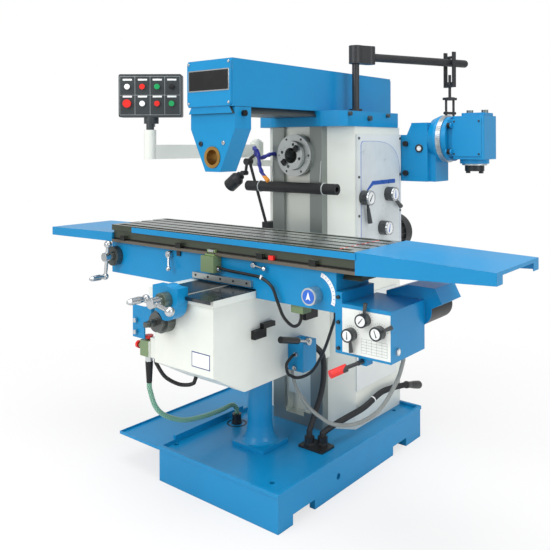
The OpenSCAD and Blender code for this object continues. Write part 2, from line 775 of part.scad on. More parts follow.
// Arbor support: hangs on the overarm's dovetail and holds the bush in line with the spindle.
support_drop = 57;
support_foot_half = 40;
support_shoulder = 1455;
module arbor_support() {
  h = arm_w / 2;
  y0 = -support_front;
  y1 = y0 + support_t;
  color(blue) {
    difference() {
      prism_y([[-h, arm_z - gap], [h, arm_z - gap], [h, support_shoulder],
        [support_foot_half, spindle_z - support_drop],
        [-support_foot_half, spindle_z - support_drop], [-h, support_shoulder]], [y0, y1]);
      dovetail(dove_half + slip, dove_flare, [seat_z - groove_deep - slip, arm_z + cut],
        [y0 - cut, y1 + cut]);
      rod_y(bush_d, 0, [y0 - cut, y1 + cut], spindle_z);
    }
    rod_x(seat_bolt_d, [h, h + seat_bolt_h], (y0 + y1) / 2, arm_z - groove_deep);
  }
}
module arbor_bush() {
  y0 = -support_front - rim_over;
  y1 = -support_front + support_t;
  color(bronze) difference() {
    rod_y(bush_d, 0, [y0, y1], spindle_z);
    rod_y(bush_bore, 0, [y0 - cut, y1 + cut], spindle_z);
  }
}

// Jib of the crane, its trolley and the swivelling shackle.
knuckle_d = 62;
knuckle_l = 76;
knuckle_half = 26;
knuckle_end_d = 56;
jib_drop = 49;
jib_z = post_top - jib_drop;
module on_jib(r) {
  translate([post_x, post_y, jib_z]) rotate([0, 0, 90 - jib_turn]) translate([r, 0, 0])
    children();
}
module crane_jib() {
  color(black) difference() {
    union() {
      on_jib(0) {
        rod_x(jib_d, [0, jib_l - jib_d / 2], 0, 0);
        translate([0, 0, knuckle_z0 - jib_z]) linear_extrude(knuckle_h) {
          circle(d = knuckle_d);
          translate([0, -knuckle_half]) square([knuckle_l, 2 * knuckle_half]);
          translate([knuckle_l, 0]) circle(d = knuckle_end_d);
        }
      }
      on_jib(jib_l - jib_d / 2) sphere(d = jib_d);
    }
    rod_z(post_d + 2 * run, post_x, post_y, [knuckle_z0 - cut, post_top - rim_w + slip]);
  }
}
strap_w = 20;
strap_t = 8;
strap_low = 122;
strap_high = 52;
yoke_half = 30;
module crane_trolley() {
  roll = 14;
  z0 = jib_d / 2 + slip;
  color(black) on_jib(trolley_r) {
    for (s = [-1, 1]) translate([0, s * yoke_half, 0])
      block([-strap_w / 2, strap_w / 2], [-strap_t / 2, strap_t / 2],
        [-strap_low, strap_high]);
    rod_y(roll, 0, [-yoke_half, yoke_half], z0 + roll / 2);
    difference() {
      block([-strap_w / 2, strap_w / 2], [-yoke_half, yoke_half],
        [-strap_low, -strap_low + strap_t * 1.5]);
      rod_z(roll + 2 * run, 0, 0, [-strap_low - cut, -strap_low + strap_w]);
    }
  }
}
hook_stud = 14;
hook_drop = 50;
hook_over = 12;
hook_h = 92;
hook_half = 24;
hook_leg_d = 12;
hook_head_d = 48;
module crane_hook() {
  z0 = -strap_low;
  z1 = z0 - hook_drop;
  z2 = z1 - hook_h;
  reach = hook_half + hook_leg_d;
  color(black) on_jib(trolley_r) {
    rod_z(hook_stud, 0, 0, [z1, z0 + hook_drop + hook_over]);
    rod_z(hook_stud * 1.8, 0, 0, [z0 + strap_t * 1.5 + slip, z0 + strap_t * 1.5 + hook_stud]);
    rod_z(hook_head_d, 0, 0, [z1 - hook_stud, z1 + slip]);
    block([-reach, reach], [-hook_leg_d, hook_leg_d], [z1 - hook_stud + cut, z1 - cut]);
    for (s = [-1, 1]) rod_z(hook_leg_d, s * hook_half, 0, [z2, z1 - hook_stud / 2]);
    rod_x(hook_stud, [-reach, reach], 0, z2 + hook_stud);
  }
}

// Vertical head: flange with clamp bolts, gear case, cover and quill housing.
head_x = 509;
head_flange_t = 24;
quill_d = 132;
quill_h = 40;
head_nose_d = 88;
head_nose_h = 36;
module milling_head() {
  x0 = ring_x[1] + slip;
  x1 = head_x + head_w;
  y0 = head_y - head_dy / 2;
  y1 = head_y + head_dy / 2;
  zc = head_z + rim_h / 2;
  z0 = zc - head_h / 2;
  z1 = zc + head_h / 2;
  color(blue) difference() {
    union() {
      rod_x(ring_d - rim_w, [x0, x0 + head_flange_t], head_y, head_z);
      block([x0 + head_flange_t - cut, head_x + cut], [y0 + rim_over, y1 - rim_over],
        [z0 + rim_w, z1 - rim_w]);
      translate([(head_x + x1) / 2, head_y, z0]) linear_extrude(head_h)
        round_rect(head_w, head_dy, rim_w);
      block([head_x + 2 * cut, x1 - rim_h], [y0 - rim_over, y0 + rim_w],
        [z0 + rim_w, z1 - rim_w]);
      translate([(head_x + x1) / 2 + rim_w, head_y, z1]) linear_extrude(rim_w)
        round_rect(head_w * 0.74, head_dy * 0.74, rim_w);
      rod_z(quill_d, (head_x + x1) / 2, head_y, [z0 - quill_h / 2, z0 + cut]);
      for (s = [-1, 1])
        rod_x(bracket_bolt_d, [x0 + head_flange_t - cut, x0 + head_flange_t + rim_w * 2],
          head_y - ring_d * 0.4, head_z + s * ring_d * 0.27);
    }
    rod_z(head_nose_d * 0.8 + 2 * run, (head_x + x1) / 2, head_y,
      [z0 - quill_h, z1 - rim_w * 2]);
  }
  color(bright) {
    difference() {
      rod_z(quill_d * 0.86, (head_x + x1) / 2, head_y,
        [z0 - quill_h / 2 - rim_h, z0 - quill_h / 2]);
      rod_z(head_nose_d * 0.8 + 2 * gap, (head_x + x1) / 2, head_y,
        [z0 - quill_h, z0]);
    }
    for (s = [-1, 1])
      rod_z(plug_d * 0.55, (head_x + x1) / 2 + rim_w + s * head_w * 0.24, head_y,
        [z1 + rim_w, z1 + rim_w * 2]);
  }
}
module head_spindle() {
  xc = head_x + head_w / 2;
  zc = head_z + rim_h / 2 - head_h / 2;
  top = zc + head_h - rim_w * 3;
  color(steel) difference() {
    union() {
      rod_z(head_nose_d * 0.8, xc, head_y, [zc - quill_h / 2 - rim_h - gap, top]);
      rod_z(head_nose_d, xc, head_y,
        [zc - quill_h / 2 - rim_h - gap - head_nose_h * 0.7,
        zc - quill_h / 2 - rim_h - gap]);
      for (s = [-1, 1]) block([xc + s * head_nose_d * 0.36 - rim_h, xc + s * head_nose_d * 0.36
        + rim_h], [head_y - rim_h, head_y + rim_h],
        [zc - quill_h / 2 - rim_h - gap - head_nose_h, zc - quill_h / 2 - rim_h
        - gap - head_nose_h * 0.6]);
    }
    rod_z(head_nose_d * 0.44, xc, head_y,
      [zc - quill_h - head_nose_h - rim_h, zc + head_h / 3]);
  }
}

// Controls with a drum, a lever and a pin. The pin points down local Z into its plate.
drum_d = 66;
drum_l = 42;
module drum_lever(pin_l, turn, reach, grip_d, lever = true) {
  color(black) {
    cylinder(d = drum_d, h = drum_l);
    translate([0, 0, -pin_l]) cylinder(d = dial_pin_d, h = pin_l + cut);
    if (lever) rotate([0, 0, turn]) {
      translate([0, 0, drum_l * 0.45]) rotate([0, 90, 0])
        cylinder(d = grip_d * 0.55, h = reach - grip_d * 2);
      translate([reach * 0.42, 0, drum_l * 0.45]) rotate([0, 90, 0])
        cylinder(d1 = grip_d * 0.7, d2 = grip_d, h = reach * 0.58);
    }
  }
  color(bright) translate([0, 0, drum_l]) cylinder(d = drum_d * 0.78, h = tie_d / 2);
}
speed_reach = 118;
range_reach = 112;
grip_d = 22;
module on_plate(i) {
  translate([cover_x + slip, dial_y[i], dial_z[i]]) rotate([0, 90, 0]) children();
}
module speed_lever() { on_plate(0) drum_lever(cover_t, 14, speed_reach, grip_d); }
module range_lever() { on_plate(1) drum_lever(cover_t, 55, range_reach, grip_d); }
module speed_dial() { on_plate(2) drum_lever(cover_t, 0, range_reach, grip_d, lever = false); }

// Knee casting: slab with ways, hollow body open below, with its own column dovetail.
knee_rear = way_y - slip;
knee_slope_y = -490;
knee_slope_h = 92;
knee_wall = 24;
screw_room_d = 176;
cover_slat = 4;
cover_x_half = 128;
// Lengths and heights of the stop blocks on the right side.
knee_stops = [[[-452, -384], [649, 682]], [[-400, -330], [681, 700]], [[-130, -45], [660, 700]]];
stop_t = 21;
knee_step_x = 29;
knee_step_y = -380;
knee_step_h = 5;
module knee_casting() {
  x = knee_half;
  y0 = -knee_front;
  z0 = knee_low;
  slab_y0 = y0 - slab_over;
  color(cream) difference() {
    union() {
      prism_x([[y0, slab_low + cut], [knee_rear, slab_low + cut], [knee_rear, z0],
        [knee_slope_y, z0], [y0, z0 + knee_slope_h]], [-x, x]);
      block([-x - slab_over, x + slab_over], [slab_y0, knee_rear], [slab_low, knee_z]);
      // Ears that wrap the sides of the column's ways.
      for (s = [-1, 1]) block([min(s * (way_half + slip), s * x), max(s * (way_half + slip),
        s * x)], [knee_rear - cut, way_y + recess_d * 1.8], [z0, knee_z]);
    }
    // Hollow that the pedestal rises into.
    block([-x + knee_wall, x - knee_wall], [knee_slope_y + knee_wall, knee_rear - knee_wall],
      [z0 - cut, slab_low]);
    rod_z(screw_d + 2 * run, 0, pedestal_y, [slab_low - cut, knee_z - rim_w]);
    rod_y(shaft_d + 2 * run, shaft_x, [y0 - cut, knee_slope_y + knee_wall + cut], shaft_z);
    rod_y(shaft_d + 2 * run, cross_x, [slab_y0 - cut, knee_slope_y - rim_h], cross_z);
    // Lower right half of the top, under the chip cover.
    block([knee_step_x, x + slab_over + cut], [slab_y0 - cut, knee_step_y],
      [knee_z - knee_step_h, knee_z + cut]);
  }
  color(black) for (b = knee_stops) block([x, x + stop_t], b[0], b[1]);
}

// Elevating screw with its bevel gear, and the shaft with dial at the knee's front.
shaft_x = -84;
shaft_z = 728;
shaft_d = 28;
dial_d = 92;
square_w = 18;
screw_low = 270;
lift_out = 92;
lift_in = 60;
lift_dial = 40;
lift_hub = 62;
lift_square = 20;
module elevating_screw() {
  color(steel) union() {
    rod_z(screw_d, 0, pedestal_y, [screw_low, knee_z - rim_w - slip]);
    rod_z(screw_d * 2, 0, pedestal_y, [slab_low - rim_w * 2, slab_low - slip]);
  }
}
module elevating_shaft() {
  y0 = -knee_front;
  color(steel) {
    rod_y(shaft_d, shaft_x, [y0 - lift_out, knee_slope_y + knee_wall + lift_in], shaft_z);
    rod_y(dial_d, shaft_x, [y0 - lift_dial, y0 - slip], shaft_z);
    rod_y(dial_d * 0.8, shaft_x, [y0 - lift_hub, y0 - lift_dial + cut], shaft_z);
    block([shaft_x - square_w / 2, shaft_x + square_w / 2], [y0 - lift_out - lift_square,
      y0 - lift_out + cut],
      [shaft_z - square_w / 2, shaft_z + square_w / 2]);
  }
}

// Blue bracket and crank of the cross feed.
cross_x = -12;
cross_z = 824;
cross_box_x = [-93, 44];
cross_round_d = 132;
cross_round_z = 811;
bracket_drop = 52;
bracket_rise = 30;
cross_hub = 60;
cross_dial = 34;
cross_seat = 46;
module cross_bracket() {
  y0 = -knee_front - slab_over - bracket_drop;
  y1 = -knee_front - slab_over;
  color(blue) difference() {
    union() {
      block(cross_box_x, [y0, y1], [cross_round_z, knee_z + bracket_rise]);
      rod_y(cross_round_d, (cross_box_x[0] + cross_box_x[1]) / 2, [y0, y1], cross_round_z);
    }
    rod_y(shaft_d + 2 * run, cross_x, [y0 - cut, y1 + cut], cross_z);
    rod_y(dial_d + 2 * gap, shaft_x, [y0 - cut, y1 + cut], shaft_z);
  }
}
table_crank_p = [92, 262, 57];
cross_crank_p = [44, 168, 88];
grip_l = 84;
ball_d = 36;
// Crank with a hub on local Z, an arm, a counterweight ball and a turned grip.
module crank(p) {
  reach = p[0];
  color(bright) rotate([0, 0, p[1]]) {
    cylinder(d = ball_d * 1.1, h = ball_d);
    translate([0, 0, ball_d / 2]) rotate([0, 90, 0])
      cylinder(d = square_w * 0.9, h = reach);
    translate([0, 0, ball_d / 2]) rotate([0, -90, 0])
      cylinder(d = square_w * 0.9, h = p[2]);
    translate([-p[2], 0, ball_d / 2]) sphere(d = ball_d);
    translate([reach, 0, ball_d / 2]) sphere(d = ball_d * 0.85);
    translate([reach, 0, ball_d / 2]) rotate_extrude() polygon([[0, 0],
      [square_w * 0.4, 0], [square_w * 0.75, grip_l * 0.4],
      [square_w * 0.65, grip_l * 0.85], [square_w * 0.35, grip_l], [0, grip_l]]);
  }
}
module cross_crank() {
  y0 = -knee_front - slab_over - bracket_drop - slip;
  color(steel) {
    rod_y(shaft_d, cross_x, [y0 - cross_hub, knee_slope_y - rim_w], cross_z);
    rod_y(dial_d * 0.65, cross_x, [y0 - cross_dial, y0], cross_z);
  }
  translate([cross_x, y0 - cross_seat, cross_z]) rotate([90, 0, 0]) crank(cross_crank_p);
}

// Hand oil pump on the right side of the knee, with a lug for its handle.
pump_x = [160, 238];
pump_y = [-225, -137];
pump_z = [478, 598];
pump_pivot = [-200, 600];
pump_lug_w = 26;
pump_lug_d = 36;
pump_pin_d = 14;
pump_gland = [205, 548];
pump_gland_low = [200, 492];
pump_gland_d = 18;
pump_gland_l = 12;
handle_reach = [-268, 618];
handle_end = [-378, 646];
handle_d = 26;
module lube_pump() {
  color(blue) difference() {
    union() {
      block(pump_x, pump_y, pump_z);
      rod_x(pump_lug_d, [pump_x[1] - pump_lug_w, pump_x[1]], pump_pivot[0], pump_pivot[1]);
    }
    rod_x(pump_pin_d + 2 * run, [pump_x[1] - pump_lug_w - cut, pump_x[1] + cut],
      pump_pivot[0], pump_pivot[1]);
  }
  color(bright) for (g = [pump_gland, pump_gland_low])
    rod_y(pump_gland_d, g[0], [pump_y[0] - pump_gland_l, pump_y[0]], g[1]);
}
module pump_handle() {
  x0 = pump_x[1] + slip;
  xc = x0 + pump_pin_d / 2;
  color(bright) {
    rod_x(pump_pin_d, [x0 - pump_lug_w + slip, x0 + pump_pin_d * 1.3], pump_pivot[0],
      pump_pivot[1]);
    rod_x(pump_lug_d * 0.8, [x0, x0 + pump_pin_d], pump_pivot[0], pump_pivot[1]);
    rod_between([xc, pump_pivot[0], pump_pivot[1]], [xc, handle_reach[0], handle_reach[1]],
      pump_pin_d * 0.8);
  }
  color(black) rod_between([xc, handle_reach[0], handle_reach[1]],
    [xc, handle_end[0], handle_end[1]], handle_d);
}

// Switches at the knee's left front: two buttons on a bracket and a box with two mushrooms.
switch_x = [-272, -202];
switch_y = [-672, -666];
switch_z = [634, 760];
switch_box_x = [-264, -232];
switch_box_y = -645;
switch_tab_z = 690;
green_x = [-236, -186];
green_y = [-665, -615];
green_z = [564, 626];
carrier_z = [560, 640];
press_d = 18;
button_cap = 8;
button_stem = 14;
press_z = [703, 657];
mushroom_d = 34;
side_mushroom_d = 30;
collar_d = 22;
collar_l = 26;
boot_h = [24, 85];
boot_d = [30, 24];
module knee_switches() {
  xc = (switch_box_x[0] + switch_box_x[1]) / 2;
  gx = (green_x[0] + green_x[1]) / 2;
  gy = (green_y[0] + green_y[1]) / 2;
  gz = (green_z[0] + green_z[1]) / 2;
  color(blue) difference() {
    union() {
      block(switch_x, switch_y, switch_z);
      block(switch_box_x, [switch_y[0], switch_box_y], [switch_z[0], switch_z[1] - press_d * 2]);
      block([switch_x[1] - cut, -knee_half], [switch_y[0], -knee_front + knee_wall],
        [switch_tab_z, switch_z[1]]);
    }
    for (z = press_z) rod_y(press_d * 0.5 + 2 * run, xc, [switch_y[0] - cut,
      switch_y[0] + button_stem + button_cap], z);
  }
  color(cream) block([green_x[1], -knee_half], [-knee_front, green_y[1]], carrier_z);
  color(olive) difference() {
    union() {
      block(green_x, green_y, green_z);
      rod_x(collar_d, [green_x[0] - collar_l, green_x[0] + cut], gy, gz);
    }
    rod_z(press_d * 0.5 + 2 * run, gx, gy, [green_z[1] - button_stem - button_cap,
      green_z[1] + cut]);
    rod_x(press_d * 0.5 + 2 * run, [green_x[0] - collar_l - cut, green_x[0] - collar_l
      + button_stem + button_cap], gy, gz);
  }
  color(bright) rod_z(boot_d[0], gx, gy, [green_z[0] - boot_h[0], green_z[0]]);
  color(black) translate([gx, gy, green_z[0] - boot_h[0] - boot_h[1]])
    cylinder(d1 = boot_d[1] * 0.9, d2 = boot_d[0] * 1.05, h = boot_h[1]);
}
// Push button: a cap that stands off its plate by its travel, on a stem.
module press_button(d, cap, tint) {
  color(tint) {
    translate([0, 0, press_gap]) cylinder(d = d, h = cap);
    translate([0, 0, -button_stem]) cylinder(d = press_d * 0.5, h = button_stem + press_gap + cut);
  }
}
press_gap = 5;
module knee_button(z, d, cap, tint) {
  translate([(switch_box_x[0] + switch_box_x[1]) / 2, switch_y[0], z])
    rotate([90, 0, 0]) press_button(d, cap, tint);
}
module knee_start_button() { knee_button(press_z[0], press_d, button_cap, bright); }
module knee_stop_button() { knee_button(press_z[1], press_d, button_cap, bright); }
module knee_mushroom() {
  translate([(green_x[0] + green_x[1]) / 2, (green_y[0] + green_y[1]) / 2, green_z[1]])
    press_button(mushroom_d, button_cap * 1.5, "red");
}
module knee_side_mushroom() {
  translate([green_x[0] - collar_l, (green_y[0] + green_y[1]) / 2, (green_z[0] + green_z[1]) / 2])
    rotate([0, -90, 0]) press_button(side_mushroom_d, button_cap * 1.5, "red");
}

// Saddle: cross body on the knee with the long front beam of the table feed.
saddle_half = 232;
saddle_rear = 128;
beam_drop = 33;
groove_half = 84;
groove_flare = 18;
table_groove = 32;
saddle_screw_d = 32;
saddle_screw_y = -392;
saddle_screw_z = 886;
saddle_screw_x = [-640, 540];
nut_half = 30;
nut_w = 60;
nut_drop = 30;
nut_room = 3;
table_travel = 350;
crank_x = -672;
crank_z = 886;
clamp_x = -304;
selector_x = 458;
selector_z = 858;
limit_x = [-80, -8];
limit_z = [886, 950];
limit_t = 44;
connector_x = [334, 390];
connector_y = [-425, -375];
connector_h = 32;
clamp_pin_l = 12;
clamp_rise = 42;
table_hub = 46;
table_dial = 30;
table_seat = 38;
module table_groove_cut(extra, z0, z1, x) {
  y = (table_y[0] + table_y[1]) / 2;
  prism_x([[y - groove_half - extra, z1], [y + groove_half + extra, z1],
    [y + groove_half + groove_flare + extra, z0], [y - groove_half - groove_flare - extra, z0]], x);
}
module saddle_body() {
  y0 = -saddle_front;
  color(blue) {
    difference() {
      union() {
        block([-saddle_half, saddle_half], [y0, -saddle_rear], [knee_z + slip, saddle_z]);
        block([-saddle_left, saddle_right], [y0, y0 + beam_t],
          [knee_z - beam_drop, saddle_z]);
        block([saddle_half - cut, saddle_right], [y0, y0 + beam_t * 2.2],
          [knee_z + slip, saddle_z]);
      }
      block([-knee_half - slab_over - gap, knee_half + slab_over + gap],
        [y0 - cut, y0 + beam_t + cut], [knee_z - beam_drop - cut, knee_z + slip]);
      table_groove_cut(slip, saddle_z - table_groove - slip, saddle_z + cut,
        [-saddle_left - cut, saddle_right + cut]);
      // Channel for the table's nut, and the bearings of the screw at its ends.
      rod_x(saddle_screw_d + 2 * run, [saddle_screw_x[0] - cut, saddle_screw_x[1] + cut],
        saddle_screw_y, saddle_screw_z);
      block([-table_travel - nut_half - nut_room * 3, table_travel + nut_half + nut_room * 3],
        [saddle_screw_y - nut_w / 2 - nut_room, saddle_screw_y + nut_w / 2 + nut_room],
        [saddle_screw_z - nut_drop - nut_room, saddle_z + cut]);
      rod_y(shaft_d + 2 * run, crank_x, [y0 - cut, y0 + beam_t / 2 + cut], crank_z);
      rod_y(dial_pin_d + 2 * run, clamp_x, [y0 - cut, y0 + beam_t / 2],
        crank_z + clamp_rise);
      rod_y(dial_pin_d + 2 * run, selector_x, [y0 - cut, y0 + beam_t / 2], selector_z);
    }
  }
  // Limit switch, cable connector under the beam and the strip in front of the knee.
  color(olive) {
    block(limit_x, [y0 - limit_t, y0], limit_z);
    block(connector_x, connector_y, [knee_z - beam_drop - connector_h, knee_z - beam_drop]);
  }
  color(bright) block([-knee_half, knee_half], [y0 - rim_w, y0], [knee_z + rim_h,
    knee_z + rim_h * 4]);
}

module table_crank() {
  y0 = -saddle_front - slip;
  color(steel) {
    rod_y(shaft_d, crank_x, [y0 - table_hub, y0 + beam_t / 2], crank_z);
    rod_y(dial_d * 0.95, crank_x, [y0 - table_dial, y0], crank_z);
  }
  translate([crank_x, y0 - table_seat, crank_z]) rotate([90, 0, 0]) crank(table_crank_p);
}
clamp_hub = [26, 20];
clamp_p = [[0, -14, 0], [18, -30, -56]];
clamp_rod_d = 11;
module clamp_lever() {
  y0 = -saddle_front - slip;
  o = [clamp_x, y0, crank_z + clamp_rise];
  color(bright) {
    rod_y(dial_pin_d, o[0], [y0 - clamp_hub[0], y0 + clamp_pin_l], o[2]);
    rod_y(ball_d * 0.8, o[0], [y0 - clamp_hub[1], y0], o[2]);
    rod_between(o + clamp_p[0], o + clamp_p[1], clamp_rod_d);
    translate(o + clamp_p[1]) sphere(d = ball_d * 0.6);
  }
}
selector_d = 62;
selector_l = 44;
module feed_selector() {
  y0 = -saddle_front - slip;
  color(steel) {
    rod_y(dial_pin_d, selector_x, [y0 - cut, y0 + beam_t / 3], selector_z);
    rod_y(selector_d, selector_x, [y0 - selector_l, y0], selector_z);
  }
}

// Feed gearbox at the saddle's right end, with its flange and motor cover.
gearbox_flange = 27;
gearbox_flange_h = 38;
gearbox_rise = 5;
rate_x_share = [0.487, 0.207, 0.782];
rate_z_share = [0.770, 0.435, 0.574];
rate_scale = 0.7;
gearbox_x0 = saddle_right;
gearbox_x1 = gearbox_x0 + gearbox_flange + box_w;
gearbox_z1 = knee_z + gearbox_rise;
gearbox_z0 = gearbox_z1 - box_h;
rate_x = [for (s = rate_x_share) gearbox_x0 + gearbox_flange + s * box_w];
rate_z = [for (s = rate_z_share) gearbox_z0 + s * box_h];
// Outline of the motor's cover from the box's top right edge, and the motor under it.
motor_cover = [[-153, 13], [-64, 45], [41, 44], [67, -7], [29, -29], [-10, -40], [-153, -40]];
motor_cover_l = 154;
feed_motor = [-27, -40];
feed_motor_d = 110;
feed_motor_l = 166;
sight_d = 24;
rapid_x = 652;
rapid_drop = 12;
rapid_boss = [16, 8, 48, 26];
module feed_gearbox() {
  y0 = -saddle_front - rim_w / 2;
  y1 = y0 + box_dy;
  x0 = gearbox_x0;
  x1 = gearbox_x1;
  z0 = gearbox_z0;
  z1 = gearbox_z1;
  color(blue) difference() {
    union() {
      block([x0, x0 + gearbox_flange], [y0, y0 + beam_t * 2.2], [z0, z1 + gearbox_flange_h]);
      block([x0 + gearbox_flange - cut, x1], [y0, y1], [z0, z1]);
      prism_y([for (p = motor_cover) [x1 + p[0], z1 + p[1]]], [y1 - cut, y1 + motor_cover_l]);
      block([rapid_x - rapid_boss[0], rapid_x + rapid_boss[0]],
        [y0 + rapid_boss[1], y0 + rapid_boss[2]], [z0 - rapid_boss[3], z0 + cut]);
    }
    for (i = [0 : 2]) rod_y(dial_pin_d * rate_scale + 2 * run, rate_x[i],
      [y0 - cut, y0 + beam_t / 2], rate_z[i]);
    rod_y(dial_pin_d + 2 * run, rapid_x, [y0, y0 + rapid_boss[2] + cut], z0 - rapid_drop);
  }
  color(bright) rod_x(sight_d, [x1, x1 + rim_h], y0 + box_dy * 0.16, z0 + box_h * 0.2);
  color(black) rod_y(feed_motor_d, x1 + feed_motor[0], [y1 - cut, y1 + feed_motor_l],
    z1 + feed_motor[1]);
}
rate_reach = 84;
module on_gearbox(i) {
  translate([rate_x[i], -saddle_front - rim_w / 2 - slip, rate_z[i]]) rotate([90, 0, 0])
    scale([rate_scale, rate_scale, rate_scale]) children();
}
module rate_lever_a() { on_gearbox(0) drum_lever(drum_d / 2, 80, rate_reach, grip_d); }
module rate_lever_b() { on_gearbox(1) drum_lever(drum_d / 2, -84, rate_reach, grip_d); }
module rate_lever_c() { on_gearbox(2) drum_lever(drum_d / 2, 28, rate_reach, grip_d); }
rapid_pin = [20, 40];
rapid_p = [[0, -14, 0], [-30, -60, -14], [-26, -52, -12], [-52, -108, -26]];
rapid_d = [13, 27];
module rapid_lever() {
  y0 = -saddle_front - rim_w / 2;
  o = [rapid_x, y0, gearbox_z0 - rapid_drop];
  color(black) {
    rod_y(dial_pin_d, rapid_x, [y0 - rapid_pin[0], y0 + rapid_pin[1]], o[2]);
    rod_between(o + rapid_p[0], o + rapid_p[1], rapid_d[0]);
  }
  color("red") rod_between(o + rapid_p[2], o + rapid_p[3], rapid_d[1]);
}

// Table with T slots, gutters, a stop slot in its front face and a dovetail under it.
tslot_deep = 30;
tslot_head_w = 30;
tslot_head_h = 13;
gutter_w = 30;
gutter_deep = 12;
lip_h = 25;
lip_t = 12;
stop_slot = 14;
stop_drop = 60;
dog_share = [-0.4375, -0.1585, 0.1804, 0.3677];
module milling_table() {
  yc = (table_y[0] + table_y[1]) / 2;
  color(steel) difference() {
    union() {
      block([table_x0, table_x1], table_y, [table_low, table_z]);
      table_groove_cut(0, saddle_z - table_groove, table_low + cut,
        [table_x0 + rim_w, table_x1 - rim_w]);
    }
    for (i = [-1, 0, 1]) {
      y = yc + i * tslot_pitch;
      block([table_x0 - cut, table_x1 + cut], [y - tslot_w / 2, y + tslot_w / 2],
        [table_z - tslot_deep + cut, table_z + cut]);
      block([table_x0 - cut, table_x1 + cut], [y - tslot_head_w / 2, y + tslot_head_w / 2],
        [table_z - tslot_deep, table_z - tslot_deep + tslot_head_h]);
    }
    for (s = [-1, 1]) block([table_x0 + gutter_w, table_x1 - gutter_w],
      [yc + s * (table_w / 2 - gutter_w) - gutter_w / 2,
      yc + s * (table_w / 2 - gutter_w) + gutter_w / 2],
      [table_z - gutter_deep, table_z + cut]);
    block([table_x0 - cut, table_x1 + cut], [table_y[0] - cut, table_y[0] + lip_t],
      [table_z - lip_h - stop_slot * 3, table_z - lip_h]);
  }
  // Nut that rides on the feed screw.
  color(steel) difference() {
    block([-nut_half, nut_half], [saddle_screw_y - nut_w / 2, saddle_screw_y + nut_w / 2],
      [saddle_screw_z - nut_drop, table_low]);
    rod_x(saddle_screw_d + 2 * gap, [-nut_half - cut, nut_half + cut], saddle_screw_y,
      saddle_screw_z);
    table_groove_cut(0, saddle_z - table_groove, table_low + cut,
      [-nut_half - cut, nut_half + cut]);
  }
  // Stop dogs in the front slot.
  color(steel) for (p = dog_share) let (x = p * table_l - table_shift)
    block([x - tslot_head_w / 2, x + tslot_head_w / 2],
      [table_y[0] - rim_w / 2, table_y[0] + lip_t],
      [table_z - lip_h - stop_slot * 3, table_z - lip_h - stop_slot * 1.5]);
}
// Screw of the table feed, which turns in place in the saddle's front beam.
module table_screw() {
  color(steel) rod_x(saddle_screw_d, saddle_screw_x, saddle_screw_y, saddle_screw_z);
}

// Folded sheet trays at both ends of the table.
tray_y = [-461, -102];
tray_leg = 46;
edge_strip_x = [146, 4];
edge_strip_z = [27, 4];
module sheet_tray(x, z_in, z_out, deep_in, deep_out) {
  t = sheet_t;
  a = [[x[0], z_in], [x[1], z_out], [x[1], z_out - deep_out], [x[0], z_in - deep_in]];
  s = x[1] > x[0] ? 1 : -1;
  b = [[x[0] + s * t, z_in - t], [x[1] - s * t, z_out - t], [x[1] - s * t, z_out - deep_out * 2],
    [x[0] + s * t, z_in - deep_in * 2]];
  difference() {
    prism_y(a, tray_y);
    prism_y(b, [tray_y[0] + t, tray_y[1] - t]);
    block([min(x[1] - s * t * 2, x[1] + s * t), max(x[1] - s * t * 2, x[1] + s * t)],
      [tray_y[0] + tray_leg, tray_y[1] - tray_leg], [z_out - deep_out - cut, z_out - t * 4]);
  }
}
module table_trays() {
  color(blue) {
    sheet_tray([table_x1, table_x1 + tray_right_l], table_z, table_z - rim_w,
      table_t, table_t / 2);
    sheet_tray([table_x0, table_x0 - tray_left_l], table_z - lip_h - gutter_deep,
      table_z - lip_h - gutter_deep * 1.8, table_t * 0.52, table_t * 0.5);
    // Strip along the top edge of the table's front.
    block([table_x0 + edge_strip_x[0], table_x1 + edge_strip_x[1]],
      [table_y[0] - rim_over, table_y[0]], [table_z - edge_strip_z[0], table_z - edge_strip_z[1]]);
  }
}

// Pendant: a swinging arm with a drop end and a panel that faces the operator.
arm_pivot = [-300, 115];
arm_pivot_d = 64;
arm_pivot_z = [1318, 1406];
pivot_lug_t = 28;
pivot_rib = 40;
arm_tube = [44, 62];
panel_x = -425;
panel_y = -450;
panel_at = [panel_x, panel_y];
panel_z = 1609;
panel_yaw = 40;
panel_post_d = 34;
post_drop = 56;
post_pin_d = 18;
post_pin_l = 30;
post_joint_z = panel_z - panel_h / 2 - post_drop;
post_collar = 28;
post_rib_low = 42;
post_rib_top = 26;
module pendant_arm() {
  v = [panel_at[0] - arm_pivot[0], panel_at[1] - arm_pivot[1]];
  reach = norm(v);
  turn = atan2(v[1], v[0]);
  color(cream) difference() {
    union() {
      rod_z(arm_pivot_d, arm_pivot[0], arm_pivot[1], arm_pivot_z);
      translate([arm_pivot[0], arm_pivot[1], 0]) rotate([0, 0, turn])
        block([0, reach], [-arm_tube[0] / 2, arm_tube[0] / 2],
          [arm_pivot_z[0] + slip + rim_w, arm_pivot_z[0] + rim_w + arm_tube[1]]);
      rod_z(arm_tube[0] * 1.2, panel_at[0], panel_at[1],
        [arm_pivot_z[0] + rim_w + slip, post_joint_z]);
    }
    rod_z(shaft_d + 2 * run, arm_pivot[0], arm_pivot[1],
      [arm_pivot_z[0] - cut, arm_pivot_z[1] + cut]);
    rod_z(post_pin_d + 2 * run, panel_at[0], panel_at[1],
      [post_joint_z - post_pin_l - cut, post_joint_z + cut]);
  }
}
module on_panel() {
  translate([panel_at[0], panel_at[1], panel_z]) rotate([0, 0, panel_yaw])
    children();
}
col_share = [-0.36, -0.12, 0.115, 0.345];
row_share = [0.205, -0.187];
